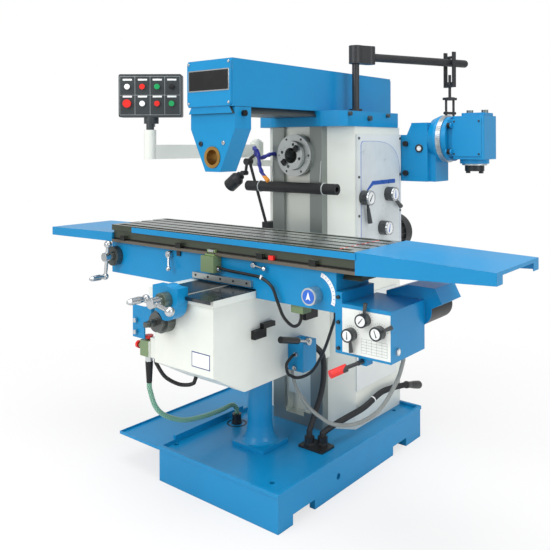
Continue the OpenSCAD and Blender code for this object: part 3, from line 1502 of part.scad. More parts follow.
module pendant_panel() {
  post_z = -panel_h / 2;
  color(black) on_panel() difference() {
    union() {
      translate([0, panel_t, 0]) rotate([90, 0, 0]) linear_extrude(panel_t)
        round_rect(panel_w, panel_h, rim_h);
      rod_z(panel_post_d * 1.9, 0, panel_t / 2, [post_z - post_collar, post_z + cut]);
      rod_z(panel_post_d, 0, 0, [post_z - post_drop + slip, post_z - post_drop / 2]);
      rod_z(post_pin_d, 0, 0, [post_z - post_drop - post_pin_l + slip,
        post_z - post_drop / 2]);
      block([-panel_post_d / 2, panel_post_d / 2], [0, panel_t / 2],
        [post_z - post_rib_low, post_z - post_rib_top]);
    }
    for (c = [1, 2, 3]) rod_y(press_d * 0.5 + 2 * run, panel_w * col_share[c],
      [-cut, button_stem + button_cap], panel_h * row_share[0]);
    for (c = [0, 2, 3]) rod_y(press_d * 0.5 + 2 * run, panel_w * col_share[c],
      [-cut, button_stem + button_cap], panel_h * row_share[1]);
  }
  color("white") on_panel() {
    rod_y(button_d, panel_w * col_share[0], [-button_cap, 0], panel_h * row_share[0]);
    rod_y(button_d, panel_w * col_share[1], [-button_cap, 0], panel_h * row_share[1]);
  }
}
module panel_button(c, r, d, cap, tint) {
  on_panel() translate([panel_w * col_share[c], 0, panel_h * row_share[r]])
    rotate([90, 0, 0]) press_button(d, cap, tint);
}
module panel_stop_a() { panel_button(1, 0, button_d, button_cap, "red"); }
module panel_start_a() { panel_button(2, 0, button_d, button_cap, "green"); }
module panel_selector() {
  on_panel() translate([panel_w * col_share[3], -slip, panel_h * row_share[0]])
    rotate([90, 0, 0]) color(black) {
      cylinder(d = button_d, h = button_cap);
      translate([0, 0, button_cap]) linear_extrude(button_cap)
        square([button_d * 0.9, button_d * 0.3], center = true);
      translate([0, 0, -button_stem]) cylinder(d = press_d * 0.5, h = button_stem + cut);
    }
}
module panel_mushroom() { panel_button(0, 1, button_d * 1.5, button_cap * 1.4, "red"); }
module panel_stop_b() { panel_button(2, 1, button_d, button_cap, "red"); }
module panel_start_b() { panel_button(3, 1, button_d, button_cap, "green"); }

// Hoses and cables: switch hose, two power conduits, pump cable, switch lead and feed conduit.
green_hose_p = [[-211, -640, 455], [-211, -640, 435], [-210, -612, 355], [-210, -560, 300],
  [-210, -460, 250], [-210, -350, 230], [-213, -230, 222], [-214, -160, 224],
  [-214, -128, 200], [-214, -128, 176]];
conduit_a_p = [[188.58, -118.4, 176], [188.58, -118.4, 200], [190, -75, 270], [194, -38, 345],
  [197, -26, 425], [199, -40, 500], [199, -90, 545], [199, -137, 545]];
conduit_b_p = [[231.42, -84.36, 176], [231.42, -84.36, 188], [250, -40, 210], [268, 50, 225],
  [270, 180, 229], [270, 320, 254], [270, 445, 245], [270, 552, 227]];
conduit_b_end = [270, 690, 190];
feed_lead_p = [[172, -212, 478], [172, -212, 455], [200, -216, 400], [256, -223, 352],
  [325, -232, 326], [401, -242, 319], [510, -257, 355], [617, -271, 437], [694, -281, 560],
  [722, -285, 640], [722, -285, 671.7]];
pump_lead_p = [[205, -237, 548], [205, -250, 548], [189, -268, 519], [187, -268, 494],
  [192, -258, 470], [225, -237, 460], [290, -235, 500], [370, -270, 600], [450, -325, 720],
  [498, -378, 768], [514, -400, 788], [514, -400, 806.7]];
switch_lead_p = [[-8, -462, 906], [12, -462, 906], [55, -464, 902], [165, -462, 898],
  [222, -462, 893], [272, -460, 865], [296, -458, 815], [318, -448, 758], [338, -422, 724],
  [354, -406, 728], [362, -400, 750], [362, -400, 774.7]];
// The last two points stand square on the slope of the knee's foot.
knee_loop_p = [[-173, -638, 560], [-173, -638, 540], [-156, -608, 482], [-118, -575, 452],
  [-85, -550, 448], [-65, -536.96, 455.765], [-65, -525, 477.215]];
cord_d = [20, 26, 15, 12];
module hoses_and_cables() {
  color([0.35, 0.65, 0.5]) cord(route(green_hose_p), cord_d[0]);
  color(black) {
    cord(route(conduit_a_p), cord_d[1]);
    cord(route(conduit_b_p), cord_d[1]);
    rod_between(conduit_b_p[len(conduit_b_p) - 1], conduit_b_end, cord_d[1] * 1.5);
    cord(route(pump_lead_p), cord_d[3]);
    cord(route(switch_lead_p), cord_d[3]);
    cord(route(knee_loop_p), cord_d[2]);
  }
  color([0.6, 0.62, 0.6]) cord(route(feed_lead_p), cord_d[2]);
}

module show(name) { children(); }
show("base_casting") base_casting();
show("drip_tray") drip_tray();
show("screw_pedestal") screw_pedestal();
show("column_casting") column_casting();
show("column_covers") column_covers();
show("overarm_seat") overarm_seat();
show("spindle_bearings") spindle_bearings();
show("main_motor") main_motor();
show("head_bracket") head_bracket();
show("fixed_posts") fixed_posts();
show("way_cover_roll") way_cover_roll();
show("coolant_hose") coolant_hose();
show("deck_fittings") deck_fittings();
show("machine_spindle") machine_spindle();
show("overarm_beam") overarm_beam();
show("arbor_support") arbor_support();
show("arbor_bush") arbor_bush();
show("crane_jib") crane_jib();
show("crane_trolley") crane_trolley();
show("crane_hook") crane_hook();
show("milling_head") milling_head();
show("head_spindle") head_spindle();
show("speed_dial") speed_dial();
show("speed_lever") speed_lever();
show("range_lever") range_lever();
show("knee_casting") knee_casting();
show("elevating_screw") elevating_screw();
show("elevating_shaft") elevating_shaft();
show("cross_bracket") cross_bracket();
show("cross_crank") cross_crank();
show("lube_pump") lube_pump();
show("pump_handle") pump_handle();
show("knee_switches") knee_switches();
show("knee_start_button") knee_start_button();
show("knee_stop_button") knee_stop_button();
show("knee_mushroom") knee_mushroom();
show("knee_side_mushroom") knee_side_mushroom();
show("saddle_body") saddle_body();
show("table_crank") table_crank();
show("clamp_lever") clamp_lever();
show("feed_selector") feed_selector();
show("feed_gearbox") feed_gearbox();
show("rate_lever_a") rate_lever_a();
show("rate_lever_b") rate_lever_b();
show("rate_lever_c") rate_lever_c();
show("rapid_lever") rapid_lever();
show("milling_table") milling_table();
show("table_trays") table_trays();
show("table_screw") table_screw();
show("pendant_arm") pendant_arm();
show("pendant_panel") pendant_panel();
show("panel_stop_a") panel_stop_a();
show("panel_start_a") panel_start_a();
show("panel_selector") panel_selector();
show("panel_mushroom") panel_mushroom();
show("panel_stop_b") panel_stop_b();
show("panel_start_b") panel_start_b();
show("lamp_arm") lamp_arm();
show("lamp_head") lamp_head();
show("hoses_and_cables") hoses_and_cables();
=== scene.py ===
import math
import bmesh
import bpy
import numpy as np
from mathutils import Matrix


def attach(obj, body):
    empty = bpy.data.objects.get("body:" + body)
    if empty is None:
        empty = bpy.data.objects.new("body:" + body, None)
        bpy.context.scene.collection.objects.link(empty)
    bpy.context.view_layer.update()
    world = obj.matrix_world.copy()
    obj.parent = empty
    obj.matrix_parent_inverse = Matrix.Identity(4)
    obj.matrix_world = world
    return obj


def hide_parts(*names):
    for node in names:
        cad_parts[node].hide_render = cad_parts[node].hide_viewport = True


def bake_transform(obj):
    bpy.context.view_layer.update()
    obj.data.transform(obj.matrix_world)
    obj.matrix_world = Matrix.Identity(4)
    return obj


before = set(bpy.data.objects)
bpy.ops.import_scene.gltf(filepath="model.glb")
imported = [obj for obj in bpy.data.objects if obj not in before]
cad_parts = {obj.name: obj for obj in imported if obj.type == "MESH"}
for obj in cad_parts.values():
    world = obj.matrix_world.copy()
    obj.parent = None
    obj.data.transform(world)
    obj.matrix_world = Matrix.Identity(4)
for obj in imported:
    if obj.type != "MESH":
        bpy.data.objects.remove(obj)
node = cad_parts
bpy.context.view_layer.update()

# Camera.
# The place, turn and lens were worked out from the straight edges of the machine. The
# horizon lies high in the picture, so the lens is shifted and not tilted.
lens = bpy.data.cameras.new("camera")
lens.sensor_width = 36.0
lens.lens = 44.97
lens.shift_x = 0.0012
lens.shift_y = -0.2374
lens.clip_end = 60.0
eye = bpy.data.objects.new("camera", lens)
eye.location = (1.90286, -2.41869, 1.39394)
eye.rotation_euler = (math.radians(90.0), math.radians(0.2), math.radians(39.54))
bpy.context.scene.collection.objects.link(eye)
bpy.context.scene.camera = eye
bpy.context.scene.view_settings.view_transform = "Standard"

# Studio.
# A pale floor that fades into a white room and keeps the shadow under the machine. Two
# large soft lamps light the front and the top, and a weaker one the right side.


def lamp_panel(name, place, aim, side, watts):
    """Square soft lamp at place, turned so that its face looks at aim."""
    light = bpy.data.lights.new(name, "AREA")
    light.shape, light.size, light.energy = "SQUARE", side, watts
    holder = bpy.data.objects.new(name, light)
    holder.location = place
    way = np.array(aim, float) - np.array(place, float)
    flat = math.hypot(way[0], way[1])
    holder.rotation_euler = (math.atan2(flat, -way[2]), 0.0,
                             math.atan2(way[1], way[0]) - math.pi / 2)
    bpy.context.scene.collection.objects.link(holder)


lamp_panel("front_lamp", (-0.9, -5.2, 3.6), (0.0, 0.0, 0.9), 3.2, 136.0)
lamp_panel("top_lamp", (0.4, -0.6, 5.2), (0.0, -0.1, 0.8), 3.4, 160.0)
lamp_panel("side_lamp", (5.2, -1.0, 2.6), (0.0, 0.1, 0.9), 2.6, 64.0)


def put(tree, kind, *, settings=(), out=0, **sockets):
    """Adds one shader node. Settings are its menu choices, and each other name is a socket
    that gets a number, a colour or a link. Returns the output socket."""
    made = tree.nodes.new("ShaderNode" + kind)
    for key, value in dict(settings).items():
        setattr(made, key, value)
    for key, value in sockets.items():
        plug = made.inputs[int(key[1:]) if key[1:].isdigit() else key.replace("_", " ")]
        if isinstance(value, bpy.types.NodeSocket):
            tree.links.new(value, plug)
        else:
            plug.default_value = value
    return made.outputs[out]


def maths(tree, operation, *terms):
    """Math node on its terms in order, each a number or a link."""
    return put(tree, "Math", settings={"operation": operation},
               **{f"_{k}": term for k, term in enumerate(terms)})


def send(tree, shader, kind="Material"):
    """Joins a shader to the output of its material or of the world."""
    tree.links.new(shader, tree.nodes.new("ShaderNodeOutput" + kind).inputs[0])


pure_white = (1.0, 1.0, 1.0, 1.0)
room_light = 0.62
room = bpy.data.worlds.new("room")
bpy.context.scene.world = room
room.use_nodes = True
tree = room.node_tree
tree.nodes.clear()
path = tree.nodes.new("ShaderNodeLightPath")
seen = maths(tree, "MAXIMUM", path.outputs["Is Camera Ray"],
             path.outputs["Is Transmission Ray"])
level = put(tree, "MapRange", Value=seen, To_Min=room_light, To_Max=1.0)
send(tree, put(tree, "Background", Color=pure_white, Strength=level), "World")

floor_half, fade_from, fade_to = 9.0, 0.9, 2.4
ground = bpy.data.meshes.new("floor")
ground.from_pydata([(x * floor_half, y * floor_half, 0)
                    for x, y in ((-1, -1), (1, -1), (1, 1), (-1, 1))], [], [(0, 1, 2, 3)])
floor = bpy.data.objects.new("floor", ground)
bpy.context.scene.collection.objects.link(floor)
skin = bpy.data.materials.new("pale_floor")
skin.use_nodes = True
tree = skin.node_tree
tree.nodes.clear()
path = tree.nodes.new("ShaderNodeLightPath")
spot = tree.nodes.new("ShaderNodeTexCoord").outputs["Object"]
away = put(tree, "VectorMath", settings={"operation": "LENGTH"}, out=1, _0=spot)
away = put(tree, "MapRange", Value=away, From_Min=fade_from, From_Max=fade_to, To_Min=0.70,
           To_Max=1.0)
seen = maths(tree, "MULTIPLY", path.outputs["Is Camera Ray"], away)
matt = put(tree, "BsdfDiffuse", Color=(0.80, 0.80, 0.80, 1.0))
white = put(tree, "Emission", Color=pure_white, Strength=1.0)
send(tree, put(tree, "MixShader", _0=seen, _1=matt, _2=white))
ground.materials.append(skin)

# Foundation base.
# Heavy box casting with a sunk deck for the oil, a folded sheet tray at its left and the
# flared pedestal of the elevating screw, all sprayed with thick blue machine enamel over
# filler. Four anchor bolts hold it to the floor.


def rgb(r, g, b):
    """Colour of a paint chart, 0 to 255, as the shader's linear colour."""
    return tuple((c / 255.0) ** 2.2 for c in (r, g, b)) + (1.0,)


def toned(colour, times, plus=0.0):
    """Lighter or darker shade of a colour: each channel times a factor, plus a little."""
    return tuple(min(c * times + plus, 1.0) for c in colour[:3]) + (1.0,)


def new_finish(name):
    """Empty material with its tree, its object coordinates and its object normal."""
    made = bpy.data.materials.new(name)
    made.use_nodes = True
    made.node_tree.nodes.clear()
    where = made.node_tree.nodes.new("ShaderNodeTexCoord")
    return made, made.node_tree, where.outputs["Object"], where.outputs["Normal"]


def within(tree, spot, lo, hi):
    """1 inside the box from lo to hi in metres and 0 outside; None leaves a side open."""
    beyond = 50.0
    split = tree.nodes.new("ShaderNodeSeparateXYZ")
    tree.links.new(spot, split.inputs[0])
    inside = None
    for k in range(3):
        if lo[k] is None and hi[k] is None:
            continue
        a = -beyond if lo[k] is None else lo[k]
        b = beyond if hi[k] is None else hi[k]
        one = maths(tree, "COMPARE", split.outputs[k], (a + b) / 2, (b - a) / 2)
        inside = one if inside is None else maths(tree, "MULTIPLY", inside, one)
    return inside


def blended(tree, share, a, b):
    """Colour a where share is 0 and b where it is 1."""
    return put(tree, "Mix", settings={"data_type": "RGBA"}, out=2, _0=share, _6=a, _7=b)


def leaning(tree, share, a, b):
    """Number a where share is 0 and b where it is 1."""
    return put(tree, "Mix", settings={"data_type": "FLOAT"}, _0=share, _2=a, _3=b)


def patchy(tree, noise, low, high):
    """Number that goes from low to high while a noise goes from 0.3 to 0.7."""
    return put(tree, "MapRange", Value=noise, From_Min=0.3, From_Max=0.7, To_Min=low,
               To_Max=high)


def edge_share(tree, radius, flat):
    """Share of wear at an edge, and the normal rounded over radius. The share is 0 where the
    cosine between rounded and true normal is flat or more, and 1 where it is 0.8 or less."""
    soft = put(tree, "Bevel", settings={"samples": 4}, Radius=radius)
    hard = tree.nodes.new("ShaderNodeNewGeometry").outputs["Normal"]
    same = put(tree, "VectorMath", settings={"operation": "DOT_PRODUCT"}, out=1, _0=soft,
               _1=hard)
    return put(tree, "MapRange", Value=same, From_Min=flat, From_Max=0.80), soft


def enamel(name, colour, worn, nook_soil_and_shade=0.35, zones=()):
    """Sprayed enamel. Slow noise shifts its tone and gloss, a fine noise raises the orange
    peel, worn edges show the primer through a broken mask, and the corners are darkened in
    patches where ambient occlusion finds them: dirt and painted shade.
    Zones are (share builder, colour, roughness, metallic) for faces bare or of other paint."""
    gloss = 0.30
    made, tree, spot, face = new_finish(name)
    slow = put(tree, "TexNoise", Vector=spot, Scale=3.2, Detail=4.0, Roughness=0.6)
    mist = put(tree, "TexNoise", Vector=spot, Scale=34.0, Detail=5.0, Roughness=0.65)
    fine = put(tree, "TexNoise", Vector=spot, Scale=420.0, Detail=2.0)
    tone = blended(tree, slow, toned(colour, 0.86), toned(colour, 1.08, 0.004))
    # Corners found by ambient occlusion are darkened in patches: dirt and painted shade.
    nook = put(tree, "AmbientOcclusion", settings={"samples": 4, "only_local": False},
               out=1, Distance=0.035)
    corner_shade_and_soil = put(tree, "MapRange", Value=nook, From_Min=0.72, From_Max=0.18, To_Max=nook_soil_and_shade)
    corner_shade_and_soil = maths(tree, "MULTIPLY", corner_shade_and_soil, mist)
    tone = blended(tree, corner_shade_and_soil, tone, toned(colour, 0.22, 0.012))
    edge, soft = edge_share(tree, 0.0022, 0.975)
    broken = put(tree, "MapRange", Value=mist, From_Min=0.50, From_Max=0.68)
    chip = maths(tree, "MULTIPLY", maths(tree, "MULTIPLY", edge, broken), 0.75)
    tone = blended(tree, chip, tone, worn)
    rough = patchy(tree, slow, gloss - 0.02, gloss + 0.07)
    metal = 0.0
    for share, paint, dull, bare in zones:
        mask = share(tree, spot, face)
        fleck = patchy(tree, slow, dull - 0.06, dull + 0.08)
        patch = blended(tree, slow, toned(paint, 0.85), paint)
        tone = blended(tree, mask, tone, patch)
        rough = leaning(tree, mask, rough, fleck)
        if bare:
            metal = maths(tree, "MAXIMUM", metal, maths(tree, "MULTIPLY", mask, bare))
    peel = put(tree, "Bump", Strength=0.10, Distance=0.0006, Height=fine, Normal=soft)
    cast = put(tree, "TexNoise", Vector=spot, Scale=16.0, Detail=2.0)
    peel = put(tree, "Bump", Strength=0.10, Distance=0.0015, Height=cast, Normal=peel)
    send(tree, put(tree, "BsdfPrincipled", Base_Color=tone, Roughness=rough, Metallic=metal,
                   Normal=peel, Specular_IOR_Level=0.34, Coat_Weight=0.06,
                   Coat_Roughness=0.15))
    return made


def dress(finish, *names):
    """Puts the finish in every material slot of the named solids."""
    for name in names:
        slots = node[name].data.materials
        if not slots:
            slots.append(finish)
        for k in range(len(slots)):
            slots[k] = finish


blue = rgb(10, 136, 193)
primer = rgb(150, 172, 188)
blue_enamel = enamel("blue_enamel", blue, primer)
dress(blue_enamel, "base_casting", "drip_tray", "screw_pedestal")

# Column.
# Hollow cream casting. Its two front ways are scraped and ground bare and carry a film of
# oil, and the groove between them is painted like the rest. The folded arm of the control
# pendant has the same paint.


def zone(lo, hi, paint, dull=0.35, bare=0.0):
    """Part of a piece inside a box in millimetres that is bare or painted otherwise: its
    share builder, colour, roughness and metallic."""
    lo, hi = ([None if c is None else c / 1000.0 for c in row] for row in (lo, hi))
    return lambda tree, spot, face: within(tree, spot, lo, hi), paint, dull, bare


no_limit = (None, None, None)
cream = rgb(231, 235, 227)
cream_worn = rgb(168, 172, 166)
dress(enamel("column_enamel", cream, cream_worn, nook_soil_and_shade=0.5, zones=(
    zone((-140.5, None, None), (140.5, 84.5, None), rgb(150, 157, 153), 0.34, 0.75),
    zone((-73.5, 44.5, None), (73.5, 84.5, None), cream, 0.36))), "column_casting")
dress(enamel("cream_enamel", cream, cream_worn, nook_soil_and_shade=0.55), "pendant_arm")

# Overarm, its seat and its support.
# Blue castings on top of the column, clamped by dark steel bolts in the seat and a black
# one in the support. The long dovetail under the overarm is planed bare on its sides and
# painted at its front end.
dark_steel = rgb(92, 98, 98)
silver = rgb(206, 210, 211)
jet = rgb(30, 31, 33)
dress(enamel("seat_enamel", blue, primer, zones=(
    zone((250.3, None, None), no_limit, dark_steel, 0.34, 0.8),)), "overarm_seat")


def planed(tree, spot, face):
    """Share of the dovetail's long faces, without the end that faces the operator."""
    low = within(tree, spot, no_limit, (None, None, 1.5405))
    along = maths(tree, "GREATER_THAN", put(tree, "SeparateXYZ", out=1, _0=face), -0.5)
    return maths(tree, "MULTIPLY", low, along)


dress(enamel("beam_enamel", blue, primer, zones=((planed, dark_steel, 0.38, 0.8),)),
      "overarm_beam")
dress(enamel("support_enamel", blue, primer, zones=(
    zone((121.3, None, None), no_limit, jet, 0.36, 0.4),)), "arbor_support")

# Column covers.
# Pale sheet covers over the speed gearbox and the door in the column's right side. The
# screws that hold them are dark steel.
dress(enamel("cover_enamel", rgb(222, 227, 226), cream_worn, nook_soil_and_shade=0.5, zones=(
    zone((255.4, None, None), no_limit, dark_steel, 0.34, 0.8),)), "column_covers")

# Parked milling head.
# Blue castings bolted to the column's side. The swivel ring and the quill's end are turned
# bright, the oil plugs on top are grey, and the bolts of bracket and ring are black.
dress(enamel("bracket_enamel", blue, primer, zones=(
    zone((439.5, None, None), (462.5, None, None), silver, 0.30, 0.9),
    zone((260.0, None, None), (309.5, 544.6, None), jet, 0.40))), "head_bracket")
dress(enamel("head_enamel", blue, primer, zones=(
    zone((None, None, 1536.4), no_limit, rgb(126, 134, 134), 0.32, 0.8),
    zone((492.0, None, 1464.0), (508.6, 566.6, 1493.0), jet, 0.36, 0.4),
    zone((492.0, None, 1343.0), (508.6, 566.6, 1372.0), jet, 0.36, 0.4),
    zone(no_limit, (None, None, 1302.0), silver, 0.30, 0.9))), "milling_head")

# Knee.
# Cream casting on the column's ways, with a blue bracket for the cross feed and a blue oil
# pump on its right side. The sliding cover on the left of its top and the stop blocks on
# its side are black.
dress(enamel("knee_enamel", cream, cream_worn, nook_soil_and_shade=0.55, zones=(
    zone((-135.0, -668.0, 839.5), (29.0, -150.0, None), rgb(52, 56, 58), 0.32, 0.4),
    zone((160.4, None, 648.0), (None, None, 701.0), jet, 0.40))), "knee_casting")
dress(blue_enamel, "cross_bracket")
dress(enamel("pump_enamel", blue, primer, zones=(
    zone(no_limit, (None, -225.3, None), silver, 0.28, 0.9),)), "lube_pump")

# Saddle, feed gearbox and table trays.
# Blue castings, and blue folded sheet at the table's ends. The saddle also carries an olive
# limit switch, an olive connector and a bright strip, and the gearbox an oil sight and the
# black end of its motor.
olive = rgb(120, 142, 104)
dress(enamel("saddle_enamel", blue, primer, zones=(
    zone((-80.5, None, 885.5), (-7.5, -440.3, 950.5), olive, 0.38),
    zone((333.5, -425.5, 774.0), (390.5, -374.5, 806.5), olive, 0.38),
    zone((-160.5, None, 847.0), (160.5, -440.3, 873.0), rgb(186, 192, 192), 0.30, 0.9))),
      "saddle_body")
dress(enamel("gearbox_enamel", blue, primer, zones=(
    zone((767.3, None, None), (776.0, -300.0, 720.0), silver, 0.25, 0.9),
    zone((683.0, -213.7, 749.0), (796.0, None, 859.0), jet, 0.40))), "feed_gearbox")
dress(blue_enamel, "table_trays")

# Steel parts.
# Turned, ground and polished steel, and the bronze bush of the arbor: fine marks run round
# or along the piece under a film of oil.


def steel(name, colour, dull=0.30, marks=(60.0, 60.0, 60.0), zones=()):
    """Bare steel. Noise stretched by marks gives the tool marks in tone and height, slow
    noise the handling stains, and the edges are rubbed brighter and carry a painted
    highlight. Zones are as in enamel."""
    made, tree, spot, face = new_finish(name)
    lay = put(tree, "Mapping", Vector=spot, Scale=marks)
    grain = put(tree, "TexNoise", Vector=lay, Scale=14.0, Detail=3.0, Roughness=0.7)
    stain = put(tree, "TexNoise", Vector=spot, Scale=9.0, Detail=5.0, Roughness=0.62)
    dark = toned(colour, 0.68)
    tone = blended(tree, stain, dark, colour)
    mark = put(tree, "MapRange", Value=grain, From_Min=0.35, From_Max=0.65, To_Max=0.22)
    tone = blended(tree, mark, tone, dark)
    edge, soft = edge_share(tree, 0.0012, 0.97)
    # The edges are lightened: rubbed steel and a painted highlight.
    tone = blended(tree, maths(tree, "MULTIPLY", edge, 0.6), tone, toned(colour, 1.25, 0.05))
    rough = patchy(tree, stain, dull - 0.07, dull + 0.10)
    metal = 0.95
    for share, paint, flat, bare in zones:
        mask = share(tree, spot, face)
        patch = blended(tree, stain, toned(paint, 0.7), paint)
        tone = blended(tree, mask, tone, patch)
        rough = leaning(tree, mask, rough, flat)
        metal = leaning(tree, mask, metal, bare)
    lift = put(tree, "Bump", Strength=0.12, Distance=0.0004, Height=grain, Normal=soft)
    send(tree, put(tree, "BsdfPrincipled", Base_Color=tone, Roughness=rough, Metallic=metal,
                   Normal=lift))
    return made


ground_steel = rgb(212, 218, 217)
polish = rgb(214, 218, 220)
dress(steel("bare_steel", ground_steel), "spindle_bearings", "elevating_screw",
      "table_screw", "feed_selector")
# The drive keys stand proud of the nose and are black, as is the bore behind them.
dress(steel("nose_steel", ground_steel, zones=(
    zone(no_limit, (None, -0.4, None), rgb(44, 46, 48), 0.40, 0.5),)), "machine_spindle")
dress(steel("quill_steel", rgb(70, 74, 76), dull=0.34), "head_spindle")
dress(steel("dial_steel", rgb(112, 116, 114), dull=0.32), "elevating_shaft")
dress(steel("polished_steel", polish, dull=0.20), "clamp_lever", "knee_start_button",
      "knee_stop_button")
# The cranks' hubs and arms are polished, and their graduated dials darker.
dress(steel("table_crank_steel", polish, dull=0.20, zones=(
    zone((None, -470.5, None), no_limit, rgb(104, 110, 108), 0.34, 0.85),)), "table_crank")
dress(steel("cross_crank_steel", polish, dull=0.20, zones=(
    zone((None, -756.5, None), no_limit, rgb(128, 140, 128), 0.34, 0.85),)), "cross_crank")
dress(steel("bronze", rgb(196, 152, 84), dull=0.34), "arbor_bush")

# Table.
# Long casting, planed along its length. Its top is bare, and every face that does not
# look up is darker olive and duller. Along its front, painted shade lies black in the
# lower part of the stop slot, with a paler strip below it.


def upright(tree, spot, face):
    """Share of the faces that don't look up."""
    return maths(tree, "LESS_THAN", put(tree, "SeparateXYZ", out=2, _0=face), 0.5)


dress(steel("table_steel", rgb(202, 208, 207), dull=0.28, marks=(3.0, 60.0, 60.0), zones=(
    (upright, rgb(86, 92, 80), 0.38, 0.6),
    # The lower part of the stop slot is painted black: painted shade under its lip.
    zone((None, None, 963.4), (None, -448.9, 970.5), rgb(28, 30, 29), 0.5, 0.3),
    zone(no_limit, (None, -448.9, 963.4), rgb(124, 118, 108), 0.36, 0.7),
    zone(no_limit, (None, -461.2, None), rgb(46, 48, 46), 0.4, 0.5))), "milling_table")

# Black parts.
# Blackened or stove enamelled iron of the crane, lamp and motor, and moulded plastic of the
# pendant and the grips.


def moulded(name, colour, dull, grain=380.0, lift=0.12, zones=()):
    """Moulded or stoved surface: an even colour with fine grain in height and gloss, a slow
    dusting of paler tone, and a painted highlight along its edges. Of its zones only the
    place and the colour count."""
    made, tree, spot, face = new_finish(name)
    dust = put(tree, "TexNoise", Vector=spot, Scale=12.0, Detail=5.0, Roughness=0.65)
    fine = put(tree, "TexNoise", Vector=spot, Scale=grain, Detail=3.0)
    tone = blended(tree, dust, colour, toned(colour, 1.35, 0.008))
    edge, soft = edge_share(tree, 0.0012, 0.97)
    # The edges are lightened: a painted highlight.
    tone = blended(tree, maths(tree, "MULTIPLY", edge, 0.35), tone, toned(colour, 1.8, 0.03))
    for share, paint, _, _ in zones:
        tone = blended(tree, share(tree, spot, face), tone, paint)
    rough = patchy(tree, dust, dull - 0.05, dull + 0.08)
    bump = put(tree, "Bump", Strength=lift, Distance=0.0005, Height=fine, Normal=soft)
    send(tree, put(tree, "BsdfPrincipled", Base_Color=tone, Roughness=rough, Normal=bump))
    return made


iron = rgb(34, 36, 39)
dress(moulded("black_iron", iron, 0.40), "main_motor", "fixed_posts", "crane_jib",
      "crane_trolley", "crane_hook", "lamp_arm", "lamp_head")
dress(moulded("panel_black", rgb(48, 54, 56), 0.36), "pendant_panel")
# The grip of the rapid lever is red.
dress(moulded("rapid_black", iron, 0.34, zones=(
    zone(no_limit, (629.5, -497.5, None), rgb(222, 44, 38)),)), "rapid_lever")
soft_black = rgb(28, 29, 31)
black_plastic = moulded("black_plastic", soft_black, 0.32, grain=600.0, lift=0.06)
dress(black_plastic, "deck_fittings", "panel_selector")
dress(steel("pump_handle_steel", silver, dull=0.25, zones=(
    zone(no_limit, (None, -268.0, None), soft_black, 0.32),)), "pump_handle")

# Speed and feed levers.
# Moulded black drums with their levers, and white faces sunk in the drums' fronts.
drum_black = rgb(58, 61, 62)
face_white = rgb(236, 240, 240)
for front, names in ((zone((297.4, None, None), no_limit, face_white),
                      ("speed_dial", "speed_lever", "range_lever")),
                     (zone(no_limit, (None, -476.8, None), face_white),
                      ("rate_lever_a", "rate_lever_b", "rate_lever_c"))):
    for name in names:
        dress(moulded(name + "_black", drum_black, 0.26, grain=600.0, lift=0.06,
                      zones=(front,)), name)

# Rolled way cover.
# Black rubber sheet, rolled up and held by three wire ties.
tie_wire = rgb(196, 202, 202)
dress(moulded("black_rubber", rgb(30, 31, 33), 0.55, grain=240.0, zones=(
    zone((-190.5, None, None), (-186.5, None, None), tie_wire),
    zone((171.5, None, None), (175.5, None, None), tie_wire),
    zone((None, None, 1227.5), no_limit, tie_wire))), "way_cover_roll")

# Push buttons and switch box.
# Moulded red and green caps. The knee's switch box is olive on a blue bracket, with a
# chrome gland and a rubber boot below.
red_plastic = moulded("red_plastic", rgb(214, 40, 34), 0.25, grain=800.0, lift=0.03)
dress(red_plastic, "knee_mushroom", "knee_side_mushroom", "panel_stop_a", "panel_mushroom",
      "panel_stop_b")
dress(moulded("green_plastic", rgb(24, 150, 84), 0.25, grain=800.0, lift=0.03),
      "panel_start_a", "panel_start_b")
dress(enamel("switch_enamel", olive, rgb(180, 190, 170), zones=(
    zone((None, None, 633.9), (-159.5, None, None), blue, 0.30),
    zone((-186.2, None, 559.0), (-159.0, None, 641.0), cream, 0.34),
    zone((None, None, 539.5), (None, None, 563.9), silver, 0.25, 0.9),
    zone(no_limit, (None, None, 540.1), jet, 0.5))), "knee_switches")

# Coolant hose.
# Blue moulded beads snapped into each other, which hold their own curve, and an orange
# nozzle at the end.
dress(moulded("blue_hose", rgb(34, 44, 128), 0.35, zones=(
    zone(no_limit, (None, None, 1252.0), rgb(240, 150, 40)),)), "coolant_hose")

# Hoses and cables.
# Green braided hose, ribbed conduits and rubber leads. Each is one length that hangs in
# the curve of its own weight between two screwed glands, but for the rear conduit, which
# ends in a grip.


def route(points, steps):
    """Smooth curve through the points in millimetres: on each span the cubic that meets its
    two ends with slopes of half the step between their neighbours. The first and the last
    span are straight, in line with their glands. Returns metres."""
    ends = np.array(points, float) / 1000.0
    p = ends[1:-1]
    padded = np.vstack([p[:1], p, p[-1:]])
    a, b, c, d = (padded[k:len(padded) - 3 + k, None] for k in range(4))
    t = (np.arange(steps) / steps)[None, :, None]
    bow = 0.5 * (2 * b + (c - a) * t + (2 * a - 5 * b + 4 * c - d) * t ** 2
                 + (3 * b - a - 3 * c + d) * t ** 3)
    return np.vstack([ends[:1], bow.reshape(-1, 3), p[-1:], ends[-1:]])


def evenly(line, count):
    """Points at equal steps of length along a line, and the length of the line."""
    run = np.concatenate([[0], np.cumsum(np.linalg.norm(np.diff(line, axis=0), axis=1))])
    at = np.linspace(0, run[-1], count)
    return np.stack([np.interp(at, run, line[:, k]) for k in range(3)], 1), run[-1]


